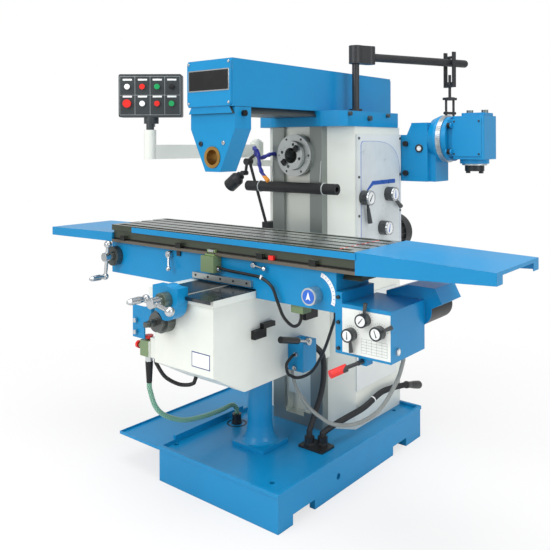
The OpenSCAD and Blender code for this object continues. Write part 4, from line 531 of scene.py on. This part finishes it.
def hose(name, line, radius, sides, finish):
    """Closed tube: at each point of the line a ring of the given radius, one number or one
    for each ring, lies in the plane square to the line, without twist. Its map runs round
    the hose in u and along it in metres in v."""
    n = len(line)
    along = np.gradient(line, axis=0)
    along /= np.linalg.norm(along, axis=1)[:, None]
    side = np.zeros_like(along)
    first = np.cross(along[0], [0.0, 0.0, 1.0] if abs(along[0][2]) < 0.9 else [1.0, 0.0, 0.0])
    side[0] = first / np.linalg.norm(first)
    for k in range(1, n):
        keep = side[k - 1] - along[k] * np.dot(side[k - 1], along[k])
        side[k] = keep / np.linalg.norm(keep)
    over = np.cross(along, side)
    turn = np.linspace(0, 2 * np.pi, sides, endpoint=False)
    r = np.broadcast_to(np.asarray(radius, float), (n,))[:, None, None]
    rings = line[:, None] + r * (np.cos(turn)[None, :, None] * side[:, None]
                                 + np.sin(turn)[None, :, None] * over[:, None])
    verts = np.vstack([rings.reshape(-1, 3), line[:1], line[-1:]])
    i, k = np.meshgrid(np.arange(n - 1), np.arange(sides), indexing="ij")
    j = (k + 1) % sides
    quads = np.stack([i * sides + k, i * sides + j, (i + 1) * sides + j, (i + 1) * sides + k],
                     -1).reshape(-1, 4)
    k = np.arange(sides)
    j = (k + 1) % sides
    caps = [(n * sides, b, a) for a, b in zip(k, j)] + [
        (n * sides + 1, (n - 1) * sides + a, (n - 1) * sides + b) for a, b in zip(k, j)]
    made = bpy.data.meshes.new(name)
    made.from_pydata(verts.tolist(), [], quads.tolist() + caps)
    run = np.concatenate([[0], np.cumsum(np.linalg.norm(np.diff(line, axis=0), axis=1))])
    chart = made.uv_layers.new(name="length")
    corner = np.zeros(len(made.loops), int)
    made.loops.foreach_get("vertex_index", corner)
    ring = np.minimum(corner // sides, n - 1)
    u = (corner % sides) / sides
    face_of = np.repeat(np.arange(len(made.polygons)), [len(f.vertices) for f in made.polygons])
    wrap = np.zeros(len(made.polygons))
    wrap[:len(quads)] = (quads[:, 0] % sides == sides - 1)
    u = np.where((wrap[face_of] > 0) & (corner % sides == 0), 1.0, u)
    chart.data.foreach_set("uv", np.stack([u, run[ring]], 1).astype(np.float32).ravel())
    made.polygons.foreach_set("use_smooth", np.ones(len(made.polygons), bool))
    piece = bpy.data.objects.new(name, made)
    bpy.context.scene.collection.objects.link(piece)
    made.materials.append(finish)
    return piece


def hose_skin(name, colour, dull, ribs=0.0, braid=0.0, clear=0.0):
    """Skin of a hose. A sine along the length, one wave to each step of ribs in metres,
    lifts the rings and paints shade into the grooves. Two crossed stripes, six turns round
    and braid turns to the metre along it, show the yarn of a braided hose through its wall."""
    made, tree, spot, face = new_finish(name)
    chart = put(tree, "UVMap", settings={"uv_map": "length"})
    split = tree.nodes.new("ShaderNodeSeparateXYZ")
    tree.links.new(chart, split.inputs[0])
    dust = put(tree, "TexNoise", Vector=spot, Scale=22.0, Detail=5.0, Roughness=0.65)
    tone = blended(tree, dust, toned(colour, 0.62), colour)
    height = put(tree, "TexNoise", Vector=spot, Scale=500.0, Detail=2.0)
    if ribs:
        height = maths(tree, "SINE", maths(tree, "MULTIPLY", split.outputs[1],
                                           2 * math.pi / ribs))
        # The grooves between the ribs are darkened: painted shade.
        groove_shade = put(tree, "MapRange", Value=height, From_Min=-1.0, From_Max=1.0,
                  To_Min=0.55, To_Max=0.0)
        tone = blended(tree, groove_shade, tone, toned(colour, 0.35))
    if braid:
        both = []
        for turns in (6.0, -6.0):
            climb = maths(tree, "MULTIPLY", split.outputs[1], braid)
            yarn = maths(tree, "MULTIPLY_ADD", split.outputs[0], turns, climb)
            both.append(maths(tree, "LESS_THAN", maths(tree, "PINGPONG", yarn, 0.5), 0.09))
        yarn = maths(tree, "MULTIPLY", maths(tree, "MAXIMUM", *both), 0.55)
        tone = blended(tree, yarn, tone, rgb(214, 228, 220))
    rough = patchy(tree, dust, dull - 0.05, dull + 0.10)
    bump = put(tree, "Bump", Strength=0.25, Distance=0.0008, Height=height)
    send(tree, put(tree, "BsdfPrincipled", Base_Color=tone, Roughness=rough, Normal=bump,
                   Transmission_Weight=clear, IOR=1.45))
    return made


black_rib, grey_rib = 0.0062, 0.0052
hose_green = hose_skin("green_hose", rgb(96, 172, 140), 0.30, braid=70.0, clear=0.12)
conduit_black = hose_skin("black_conduit", rgb(44, 46, 49), 0.42, ribs=black_rib)
conduit_grey = hose_skin("grey_conduit", rgb(160, 165, 162), 0.40, ribs=grey_rib)
lead_black = hose_skin("black_lead", rgb(32, 33, 35), 0.38)

hoses = {
    "green_hose": dict(
        points=[[-211, -640, 455], [-211, -640, 435], [-210, -612, 355], [-210, -560, 300],
                [-210, -460, 250], [-210, -350, 230], [-213, -230, 222], [-214, -160, 224],
                [-214, -128, 200], [-214, -128, 176]],
        d=0.020, body=("frame", "knee"), low=(-0.214, -0.128, 0.19),
        high=(-0.211, -0.640, 0.45), finish=hose_green, far="object", stiff="medium"),
    "conduit_a": dict(
        points=[[188.58, -118.4, 176], [188.58, -118.4, 200], [190, -75, 270], [194, -38, 345],
                [197, -26, 425], [199, -40, 500], [199, -90, 545], [199, -137, 545]],
        d=0.026, body=("frame", "knee"), low=(0.1886, -0.1184, 0.19),
        high=(0.199, -0.137, 0.54), finish=conduit_black, far="object", stiff="stiff",
        ribs=black_rib),
    "conduit_b": dict(
        points=[[231.42, -84.36, 176], [231.42, -84.36, 188], [250, -40, 210], [268, 50, 225],
                [270, 180, 229], [270, 320, 254], [270, 445, 245], [270, 552, 227]],
        d=0.026, body=("frame",), finish=conduit_black, far="connector", stiff="stiff",
        ribs=black_rib),
    "feed_lead": dict(
        points=[[172, -212, 478], [172, -212, 455], [200, -216, 400], [256, -223, 352],
                [325, -232, 326], [401, -242, 319], [510, -257, 355], [617, -271, 437],
                [694, -281, 560], [722, -285, 640], [722, -285, 671.7]],
        d=0.015, body=("knee", "saddle"), low=(0.172, -0.212, 0.478),
        high=(0.722, -0.285, 0.6717), finish=conduit_grey, far="object", stiff="medium",
        ribs=grey_rib),
    "pump_lead": dict(
        points=[[205, -237, 548], [205, -250, 548], [189, -268, 519], [187, -268, 494],
                [192, -258, 470], [225, -237, 460], [290, -235, 500], [370, -270, 600],
                [450, -325, 720], [498, -378, 768], [514, -400, 788], [514, -400, 806.7]],
        d=0.012, body=("knee", "saddle"), low=(0.205, -0.237, 0.548),
        high=(0.514, -0.400, 0.8067), finish=lead_black, far="object", stiff="medium"),
    "switch_lead": dict(
        points=[[-8, -462, 906], [12, -462, 906], [55, -464, 902], [165, -462, 898],
                [222, -462, 893], [272, -460, 865], [296, -458, 815], [318, -448, 758],
                [338, -422, 724], [354, -406, 728], [362, -400, 750], [362, -400, 774.7]],
        d=0.012, body=("saddle",), finish=lead_black, far="object", stiff="medium"),
    "knee_loop": dict(
        points=[[-173, -638, 560], [-173, -638, 540], [-156, -608, 482], [-118, -575, 452],
                [-85, -550, 448], [-65, -536.96, 455.765], [-65, -525, 477.215]],
        d=0.015, body=("knee",), finish=lead_black, far="object", stiff="medium"),
}
# The rear conduit ends in a black grip, waisted for the hand.
grip_line, _ = evenly(route([[270, 552, 227], [270, 598, 214.7], [270, 644, 202.3],
                             [270, 690, 190]], 6), 60)
grip_r = np.interp(np.linspace(0, 1, 60), [0, 0.04, 0.30, 0.62, 0.95, 1.0],
                   [0.0145, 0.0175, 0.0150, 0.0185, 0.0195, 0.0170])
grip = hose("conduit_b_grip", grip_line, grip_r, 24, black_plastic)
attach(grip, "frame")
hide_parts("hoses_and_cables")
for name, h in hoses.items():
    # A ribbed hose has five rings of corners to a rib, counted on a coarser line.
    radius, rings = h["d"] / 2, 90
    if "ribs" in h:
        rings = int(evenly(route(h["points"], 4), 34)[1] / h["ribs"] * 5)
    fine, length = evenly(route(h["points"], 12), rings)
    if "ribs" in h:
        radius = radius * (0.955 + 0.045 * np.cos(
            2 * np.pi * np.linspace(0, length, rings) / h["ribs"]))
    piece = hose(name, fine, radius, 16, h["finish"])
    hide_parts("hoses_and_cables")
    facts = dict(exit=tuple(fine[0]), length=float(length), diameter=h["d"], far_end=h["far"],
                 stiffness=h["stiff"], lay="hanging", path=fine)
    if h["far"] == "connector":
        facts["with_pieces"] = [grip]
    if len(h["body"]) == 2:
        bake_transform(piece)
    else:
        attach(piece, h["body"][0])

# Overarm plate and screws.
# A blank dark plate in a bright pressed frame on the overarm's front, and the four plated
# socket screws in each of its two ends.


def brick(lo, hi, paint=0):
    """Corners and faces of a box between two corners in millimetres."""
    lo, hi = np.array(lo, float), np.array(hi, float)
    pick = np.array([[0, 0, 0], [1, 0, 0], [1, 1, 0], [0, 1, 0],
                     [0, 0, 1], [1, 0, 1], [1, 1, 1], [0, 1, 1]])
    return lo + pick * (hi - lo), [(0, 3, 2, 1), (4, 5, 6, 7), (0, 1, 5, 4), (1, 2, 6, 5),
                                   (2, 3, 7, 6), (3, 0, 4, 7)], paint


def spun(place, axis, rows, sides=28, ring=False, paint=0):
    """Solid of revolution about an axis through place. Rows are (distance along the axis,
    radius) in millimetres; a ring joins its last row to its first and leaves a bore."""
    axis = np.array(axis, float) / np.linalg.norm(axis)
    u = np.cross(axis, [0.0, 0.0, 1.0] if abs(axis[2]) < 0.9 else [1.0, 0.0, 0.0])
    u /= np.linalg.norm(u)
    v = np.cross(axis, u)
    rows = np.array(rows, float)
    turn = np.linspace(0, 2 * np.pi, sides, endpoint=False) + np.pi / sides
    circle = np.cos(turn)[:, None] * u + np.sin(turn)[:, None] * v
    place = np.array(place, float)
    hoops = place + rows[:, None, :1] * axis + rows[:, None, 1:] * circle[None]
    n = len(rows)
    i, k = np.meshgrid(np.arange(n if ring else n - 1), np.arange(sides), indexing="ij")
    i2, j = (i + 1) % n, (k + 1) % sides
    faces = np.stack([i * sides + k, i * sides + j, i2 * sides + j, i2 * sides + k],
                     -1).reshape(-1, 4).tolist()
    if not ring:
        faces += [list(range(sides))[::-1], list(range((n - 1) * sides, n * sides))]
    return hoops.reshape(-1, 3), faces, paint


def cutout(outline, across, low, high, paint=0):
    """Sheet between two heights along one axis, cut to an outline given in the other two."""
    flat = np.array(outline, float)
    n = len(flat)
    verts = np.zeros((2 * n, 3))
    rest = [k for k in range(3) if k != across]
    verts[:n, rest] = verts[n:, rest] = flat
    verts[:n, across], verts[n:, across] = low, high
    k = np.arange(n)
    walls = np.stack([k, (k + 1) % n, (k + 1) % n + n, k + n], -1).tolist()
    return verts, [list(range(n))[::-1], list(range(n, 2 * n))] + walls, paint


def fitted(name, solids, finishes, body, soft=0.4):
    """One piece made of closed solids, each with the number of its finish. Its edges are
    rounded by soft millimetres and it rides its body."""
    made = bpy.data.meshes.new(name)
    verts, faces, which, base = [], [], [], 0
    for corners, sides, paint in solids:
        verts.append(corners)
        faces += [[base + i for i in f] for f in sides]
        which += [paint] * len(sides)
        base += len(corners)
    made.from_pydata((np.vstack(verts) / 1000.0).tolist(), [], faces)
    for finish in finishes:
        made.materials.append(finish)
    made.polygons.foreach_set("material_index", which)
    made.polygons.foreach_set("use_smooth", np.ones(len(which), bool))
    shell = bmesh.new()
    shell.from_mesh(made)
    bmesh.ops.recalc_face_normals(shell, faces=shell.faces)
    shell.to_mesh(made)
    shell.free()
    made.set_sharp_from_angle(angle=math.radians(32))
    piece = bpy.data.objects.new(name, made)
    bpy.context.scene.collection.objects.link(piece)
    if soft:
        rounded = piece.modifiers.new("rounded", "BEVEL")
        rounded.width, rounded.segments, rounded.limit_method = soft / 1000.0, 2, "ANGLE"
    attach(piece, body)
    return piece


def turned(outline, lean, place):
    """Outline in millimetres, turned to the left by lean degrees and moved to place."""
    a = math.radians(lean)
    spin = np.array([[math.cos(a), math.sin(a)], [-math.sin(a), math.cos(a)]])
    return np.array(outline, float) @ spin + place


cap_screw = [(0.0, 5.5), (2.6, 5.5), (3.6, 4.2), (3.6, 2.4), (2.2, 2.4)]
chrome = steel("chrome_trim", polish, dull=0.18)
dark_trim = steel("dark_trim", rgb(74, 78, 80), dull=0.34)
white_trim = moulded("white_trim", rgb(226, 230, 228), 0.30, grain=700.0, lift=0.03)
jet_trim = moulded("jet_trim", rgb(32, 34, 37), 0.30, grain=700.0, lift=0.04)
blue_trim = moulded("blue_trim", rgb(36, 92, 186), 0.30, grain=700.0, lift=0.03)
arm_front, arm_rear = -517.0, 681.0
fitted("overarm_plate", [
    brick((-110, arm_front - 2.0, 1602), (112, arm_front, 1686)),
    brick((-106, arm_front - 2.6, 1606), (108, arm_front - 1.6, 1682), 1)],
    [chrome, moulded("plate_black", rgb(14, 15, 17), 0.24, grain=700.0, lift=0.02)],
    "overarm")
fitted("overarm_screws", [spun((side * 109, y, z), (0, way, 0), cap_screw)
                          for y, way in ((arm_front, -1), (arm_rear, 1)) for side in (-1, 1)
                          for z in (1556, 1712)], [chrome], "overarm")

# Arbor support plugs.
# A black oil plug and a bright sight screw, both turned and screwed into the front of the
# support over the bush.
fitted("support_plugs", [
    spun((-63, -495, 1397), (0, -1, 0), [(0, 10), (5, 10), (6.5, 8), (6.5, 4), (3, 4)],
         sides=24),
    spun((60, -495, 1401), (0, -1, 0), [(0, 8.5), (3, 8.5), (4.5, 6.5), (4.5, 3), (2, 3)],
         sides=24, paint=1)], [jet_trim, chrome], "support")

# Spindle cover screws.
# Six dark socket screws hold the cover of the spindle's front bearing. They are sunk in it,
# so that only the tops of their heads stand proud.
bolt_circle, cover_front, spindle_z = 82.5, 24.2, 1344
turns = [math.radians(60 * k) for k in range(6)]
fitted("cover_screws", [
    spun((bolt_circle * math.cos(a), cover_front, spindle_z + bolt_circle * math.sin(a)),
         (0, -1, 0), [(0, 5.3), (1.4, 5.3)], 20) for a in turns], [jet_trim], "frame", soft=0)

# Parked head and its bracket.
# Dark screws in the head's front cover, an oil sight in a black frame on the bracket, and
# the black graduations of the bright swivel ring, a long one at every sixth.
fitted("head_screws", [spun((x, 559, z), (0, -1, 0), [(0.0, 4.5), (2.2, 4.5), (3.0, 3.4)])
                       for x in (522, 641) for z in (1347, 1497)], [dark_trim], "head")
sight = (351, 545, 1373)
fitted("bracket_sight", [
    spun(sight, (0, -1, 0), [(0, 20), (4, 20), (6, 17), (6, 12.5), (0, 12.5)], ring=True),
    spun(sight, (0, -1, 0), [(0, 12.4), (3, 12.4)], paint=1)], [jet_trim, white_trim], "frame")
ring_face = (461.6, 643.0, 1418.0)
ticks = []
for k in range(72):
    a = 2 * math.pi * k / 72
    corners, sides, paint = brick((-11 if k % 6 else -19, -0.45, 112.2), (0, 0.45, 112.75))
    spin = np.array([[1, 0, 0], [0, math.cos(a), math.sin(a)], [0, -math.sin(a), math.cos(a)]])
    ticks.append((corners @ spin + ring_face, sides, paint))
fitted("ring_ticks", ticks, [jet_trim], "frame", soft=0)

# Speed plate.
# Printed sheet glued on the gearbox cover under the speed levers: a grey field in a blue
# line, with a bent blue stripe.
cover_x, blue_line = 255.0, 7.0
field = np.array([(180, 898), (180, 1390), (187, 1403), (200, 1408), (300, 1408), (352, 1406),
                  (400, 1400), (437, 1390), (468, 1376), (493, 1356), (512, 1331), (524, 1300),
                  (530, 1262), (531, 1220), (531, 898)], float)
middle = field.mean(axis=0)
inner = middle + (field - middle) * (1 - blue_line / np.ptp(field, axis=0))
stripe = [(223, 1182), (236, 1182), (286, 1207), (484, 1209), (483, 1228), (277, 1226)]
fitted("speed_sheet", [
    cutout(field, 0, cover_x, cover_x + 0.10),
    cutout(inner, 0, cover_x + 0.09, cover_x + 0.18, 1),
    cutout(stripe, 0, cover_x + 0.17, cover_x + 0.26)],
    [blue_trim, moulded("sheet_grey", rgb(190, 197, 199), 0.30, grain=700.0, lift=0.03)],
    "frame", soft=0)

# Dial faces.
# Turned rims, bright on the column's drums and dark on those of the feed gearbox, pressed
# over the white faces, with a pointer pinned in the middle of each.
drum_x, drum_y = 297.3, -476.7
for name, y, z, lean, paint in (("lever_speed", 197.9, 1155.2, -38, jet_trim),
                                ("lever_range", 413.0, 1160.2, 0, blue_trim),
                                ("dial", 357.0, 1007.0, -14, blue_trim)):
    needle = turned([(-4, -18), (4, -18), (1.6, 19), (-1.6, 19)], lean, (y, z))
    fitted(name + "_face", [
        spun((drum_x, y, z), (1, 0, 0), [(0, 25.8), (2.8, 25.8), (3.4, 27), (3.0, 32.4),
                                         (-3, 33.6), (-3, 33.0), (0, 32.6)], 40, ring=True),
        cutout(needle, 0, drum_x + 1.4, drum_x + 2.3, 1)], [chrome, paint], name)
rate_dials = {"rate_a": (668.0, 804.9), "rate_b": (614.0, 747.0), "rate_c": (724.9, 771.0)}
for (name, (x, z)), lean in zip(rate_dials.items(), (-40, 0, 20)):
    needle = turned([(-2, -12), (2, -12), (1.0, 13), (-1.0, 13)], lean, (x, z))
    fitted(name + "_face", [
        spun((x, drum_y, z), (0, -1, 0), [(0, 18.1), (2.0, 18.1), (2.4, 19), (2.1, 22.7),
                                          (-2, 23.6), (-2, 23.2), (0, 22.8)], 36, ring=True),
        cutout(needle, 1, drum_y - 1.9, drum_y - 1.0, 1)], [dark_trim, jet_trim], name)

# Feed gearbox plate.
# White printed sheet glued on behind the three levers, with an arc of ticks round each and
# a blank ruled table. Hexagon bolts hold the gearbox's flange, and an oil sight is screwed
# into its right side.
box_front = -447.0
tick = [(26, -0.6), (31, -0.6), (31, 0.6), (26, 0.6)]
marks = [brick((576, box_front - 0.25, 680), (765, box_front, 832), 2)]
for place in rate_dials.values():
    marks += [cutout(turned(tick, 90 + 17 * k, place), 1, box_front - 0.29, box_front - 0.2, 1)
              for k in range(-5, 6)]
for k in range(6):
    x, z = 652 + 20 * k, 690 + 9.5 * k
    marks.append(brick((652, box_front - 0.29, z), (752, box_front - 0.2, z + 0.8), 1))
    marks.append(brick((x, box_front - 0.29, 690), (x + 0.8, box_front - 0.2, 738.3), 1))
fitted("rate_sheet", marks, [
    white_trim, moulded("print_grey", rgb(112, 118, 120), 0.4),
    moulded("sheet_white", rgb(214, 218, 214), 0.34, grain=700.0, lift=0.03)],
    "saddle", soft=0)
fitted("flange_bolts", [
    spun((560.5, box_front, z), (0, -1, 0), [(0, 7), (7, 7), (8, 6)], sides=6)
    for z in (690, 780, 866)], [dark_trim], "saddle")
fitted("gearbox_sight", [spun((775, -409.7, 706.3), (1, 0, 0), [(0, 8), (0.8, 8)])],
       [white_trim], "saddle")

# Feed selector face and scale.
# Blue disc with a white arrow, let into the turned steel knob, and beside it a printed arc
# of ticks on the saddle.
knob = (458, 858)
saddle_front = -440.0
fitted("selector_face", [
    spun((458, -484.3, 858), (0, -1, 0), [(0, 25), (1.4, 25)], 40),
    cutout([(458, 876), (468, 845), (458, 852), (448, 845)], 1, -486.6, -485.6, 1)],
    [blue_trim, white_trim], "selector")
sweep = np.radians(np.linspace(72, -20, 24))
circle = np.stack([np.cos(sweep), np.sin(sweep)], -1)
arc = np.vstack([circle * 70, circle[::-1] * 86]) + knob
tick = [(74, -0.7), (82, -0.7), (82, 0.7), (74, 0.7)]
marks = [cutout(arc, 1, saddle_front - 0.30, saddle_front)]
marks += [cutout(turned(tick, lean, knob), 1, saddle_front - 0.36, saddle_front - 0.2, 1)
          for lean in np.linspace(66, -14, 9)]
fitted("selector_scale", marks, [white_trim, blue_trim], "saddle", soft=0)

# Saddle fittings.
# A second clamp lever of polished steel, a plug beside the first one, the screws of the
# bright strip, and the lid, roller and cable nut of the limit switch. All are screwed to
# the saddle's front.
clamp_at, clamp_way = (171, -448, 933), (59, -8, -6)
fitted("second_clamp", [
    spun((171, saddle_front, 933), (0, -1, 0), [(0, 11), (14, 11), (16, 9)]),
    spun(clamp_at, clamp_way, [(0, 4.5), (52, 4.0)]),
    spun(clamp_at, clamp_way, [(50, 3), (53, 8), (59, 10), (65, 8), (68, 3)])],
    [chrome], "saddle")
fitted("saddle_plug", [brick((-263, saddle_front - 7, 926), (-241, saddle_front, 948))],
       [jet_trim], "saddle", soft=1.0)
fitted("switch_lid", [
    brick((-83, -448, 951), (-5, -440, 958)), brick((-70, -470, 951), (-18, -448, 956)),
    brick((-66, -461, 956), (-60, -441, 974)), brick((-28, -461, 956), (-22, -441, 974)),
    spun((-58, -456, 968), (1, 0, 0), [(0, 8), (28, 8)], 24, paint=1),
    spun((-7.4, -462, 900), (1, 0, 0), [(0, 10), (9, 10), (12, 8)], 6, paint=1)],
    [moulded("switch_olive", rgb(120, 146, 96), 0.40), chrome], "saddle", soft=0.6)
fitted("strip_screws", [spun((x, -454, 861), (0, -1, 0), [(0, 5), (1.5, 5), (2.2, 3.5)], 20)
                        for x in (-140, -70, 0, 70, 140)], [dark_trim], "saddle")

# Knee fittings.
# A folded steel chip cover with two ribs, held on the right half of the top, and a blank
# printed label in a dark line, stuck on the front.
cover_z = 834.9
fitted("chip_cover", [brick((29.5, -669.4, cover_z), (175.4, -383, cover_z + 2.4)),
                      brick((46, -686, cover_z), (175.4, -669.6, cover_z + 2.4)),
                      brick((46, -686, 824), (175.4, -683.8, 836)),
                      brick((60, -560, 837.2), (175.4, -557, 838.4)),
                      brick((60, -480, 837.2), (175.4, -477, 838.4))],
       [steel("cover_steel", rgb(96, 101, 104), dull=0.24)], "knee", soft=0.3)
fitted("knee_label", [brick((47, -655.4, 575), (142, -655.0, 632)),
                      brick((50.5, -655.8, 578.5), (138.5, -655.2, 628.5), 1)],
       [moulded("label_blue", rgb(40, 58, 120), 0.35), white_trim], "knee", soft=0)

# Table fittings.
# Short red and white marks painted across the lands at the right end, and a red stop of
# moulded plastic in the slot of the front strip.
lands = ((-428, -378), (-357, -308), (-287, -238), (-217, -168))
fitted("table_marks", [
    brick((552, a + (b - a) * u, 1029.9), (559, a + (b - a) * w, 1030.25), paint)
    for a, b in lands for u, w, paint in ((0, 0.4, 0), (0.4, 0.6, 1), (0.6, 1, 0))],
    [red_plastic, white_trim], "table", soft=0)
fitted("red_stop", [brick((256, -463, 964), (279, -449.2, 981))], [red_plastic], "table",
       soft=0.8)

# Deck fittings.
# Black hexagon nuts under the three glands, a turned steel ring round the drain on the deck,
# and two white plastic ties on the cables.
gland_nut = [(0, 25), (11, 25), (12.5, 23.5)]
fitted("gland_nuts", [
    spun(place, (0, 0, 1), gland_nut, sides=6)
    for place in ((188.58, -118.4, 140), (231.42, -84.36, 140), (-214, -128, 132))],
    [jet_trim], "frame")
fitted("drain_ring", [
    spun((-214, -128, 132), (0, 0, 1), [(0, 38), (1.6, 38), (1.6, 45), (0, 45)],
         48, ring=True)], [dark_trim], "frame", soft=0.3)
fitted("lead_tie", [
    spun((222, -462, 893), (50, 0, -17), [(-3, 6.1), (-3, 7.6), (3, 7.6), (3, 6.1)],
         24, ring=True),
    brick((219.5, -466, 899), (224.5, -460, 904))], [white_trim], "saddle", soft=0.3)
fitted("conduit_tie", [
    spun((270, 250, 241.8), (0, 140, 24), [(-3, 13.2), (-3, 15), (3, 15), (3, 13.2)],
         32, ring=True)], [white_trim], "frame", soft=0.3)

# Control pendant face.
# Thin printed frames round the controls, blank legend strips over them, and the white caps
# of two indicator lamps, screwed in from the front.
panel_wide, panel_high = 275, 188
bend = math.radians(40.0)
on_face = np.array([[math.cos(bend), math.sin(bend), 0], [-math.sin(bend), math.cos(bend), 0],
                    [0, 0, 1]])


def facing(solid):
    """Moves a solid from the panel's own frame to its place on the pendant."""
    corners, sides, paint = solid
    return corners @ on_face + (-425.0, -450.0, 1609.0), sides, paint


columns = [panel_wide * c for c in (-0.36, -0.12, 0.115, 0.345)]
rows = [panel_high * r for r in (0.205, -0.187)]
lines = [brick((x - 0.6, -0.35, -84), (x + 0.6, 0.2, 84)) for x in (-132, -66, 0, 64, 131)]
lines += [brick((-132, -0.35, z - 0.6), (131, 0.2, z + 0.6)) for z in (-84, 2, 84)]
lines += [brick((c - 20, -0.4, r + 27), (c + 20, 0.2, r + 35), 1)
          for c in columns for r in rows]
lines += [spun((c, -8, r), (0, -1, 0), [(0, 12.2), (0.8, 12.2), (2.0, 9.5)], 32, paint=1)
          for c, r in zip(columns[:2], rows)]
fitted("panel_face", [facing(solid) for solid in lines],
       [moulded("line_grey", rgb(170, 176, 178), 0.4), white_trim], "panel", soft=0)

# Lamp bulb.
# Frosted glass bulb, deep in the blackened shade of the work lamp and screwed into its
# socket.
glass = [(47, 9), (56, 11), (66, 18), (76, 20), (86, 17), (92, 9), (94, 3)]
fitted("lamp_bulb", [spun((-281, -6.6, 1259), (-0.809, 0, -0.588), glass, 32)],
       [white_trim], "lamp_shade", soft=0)
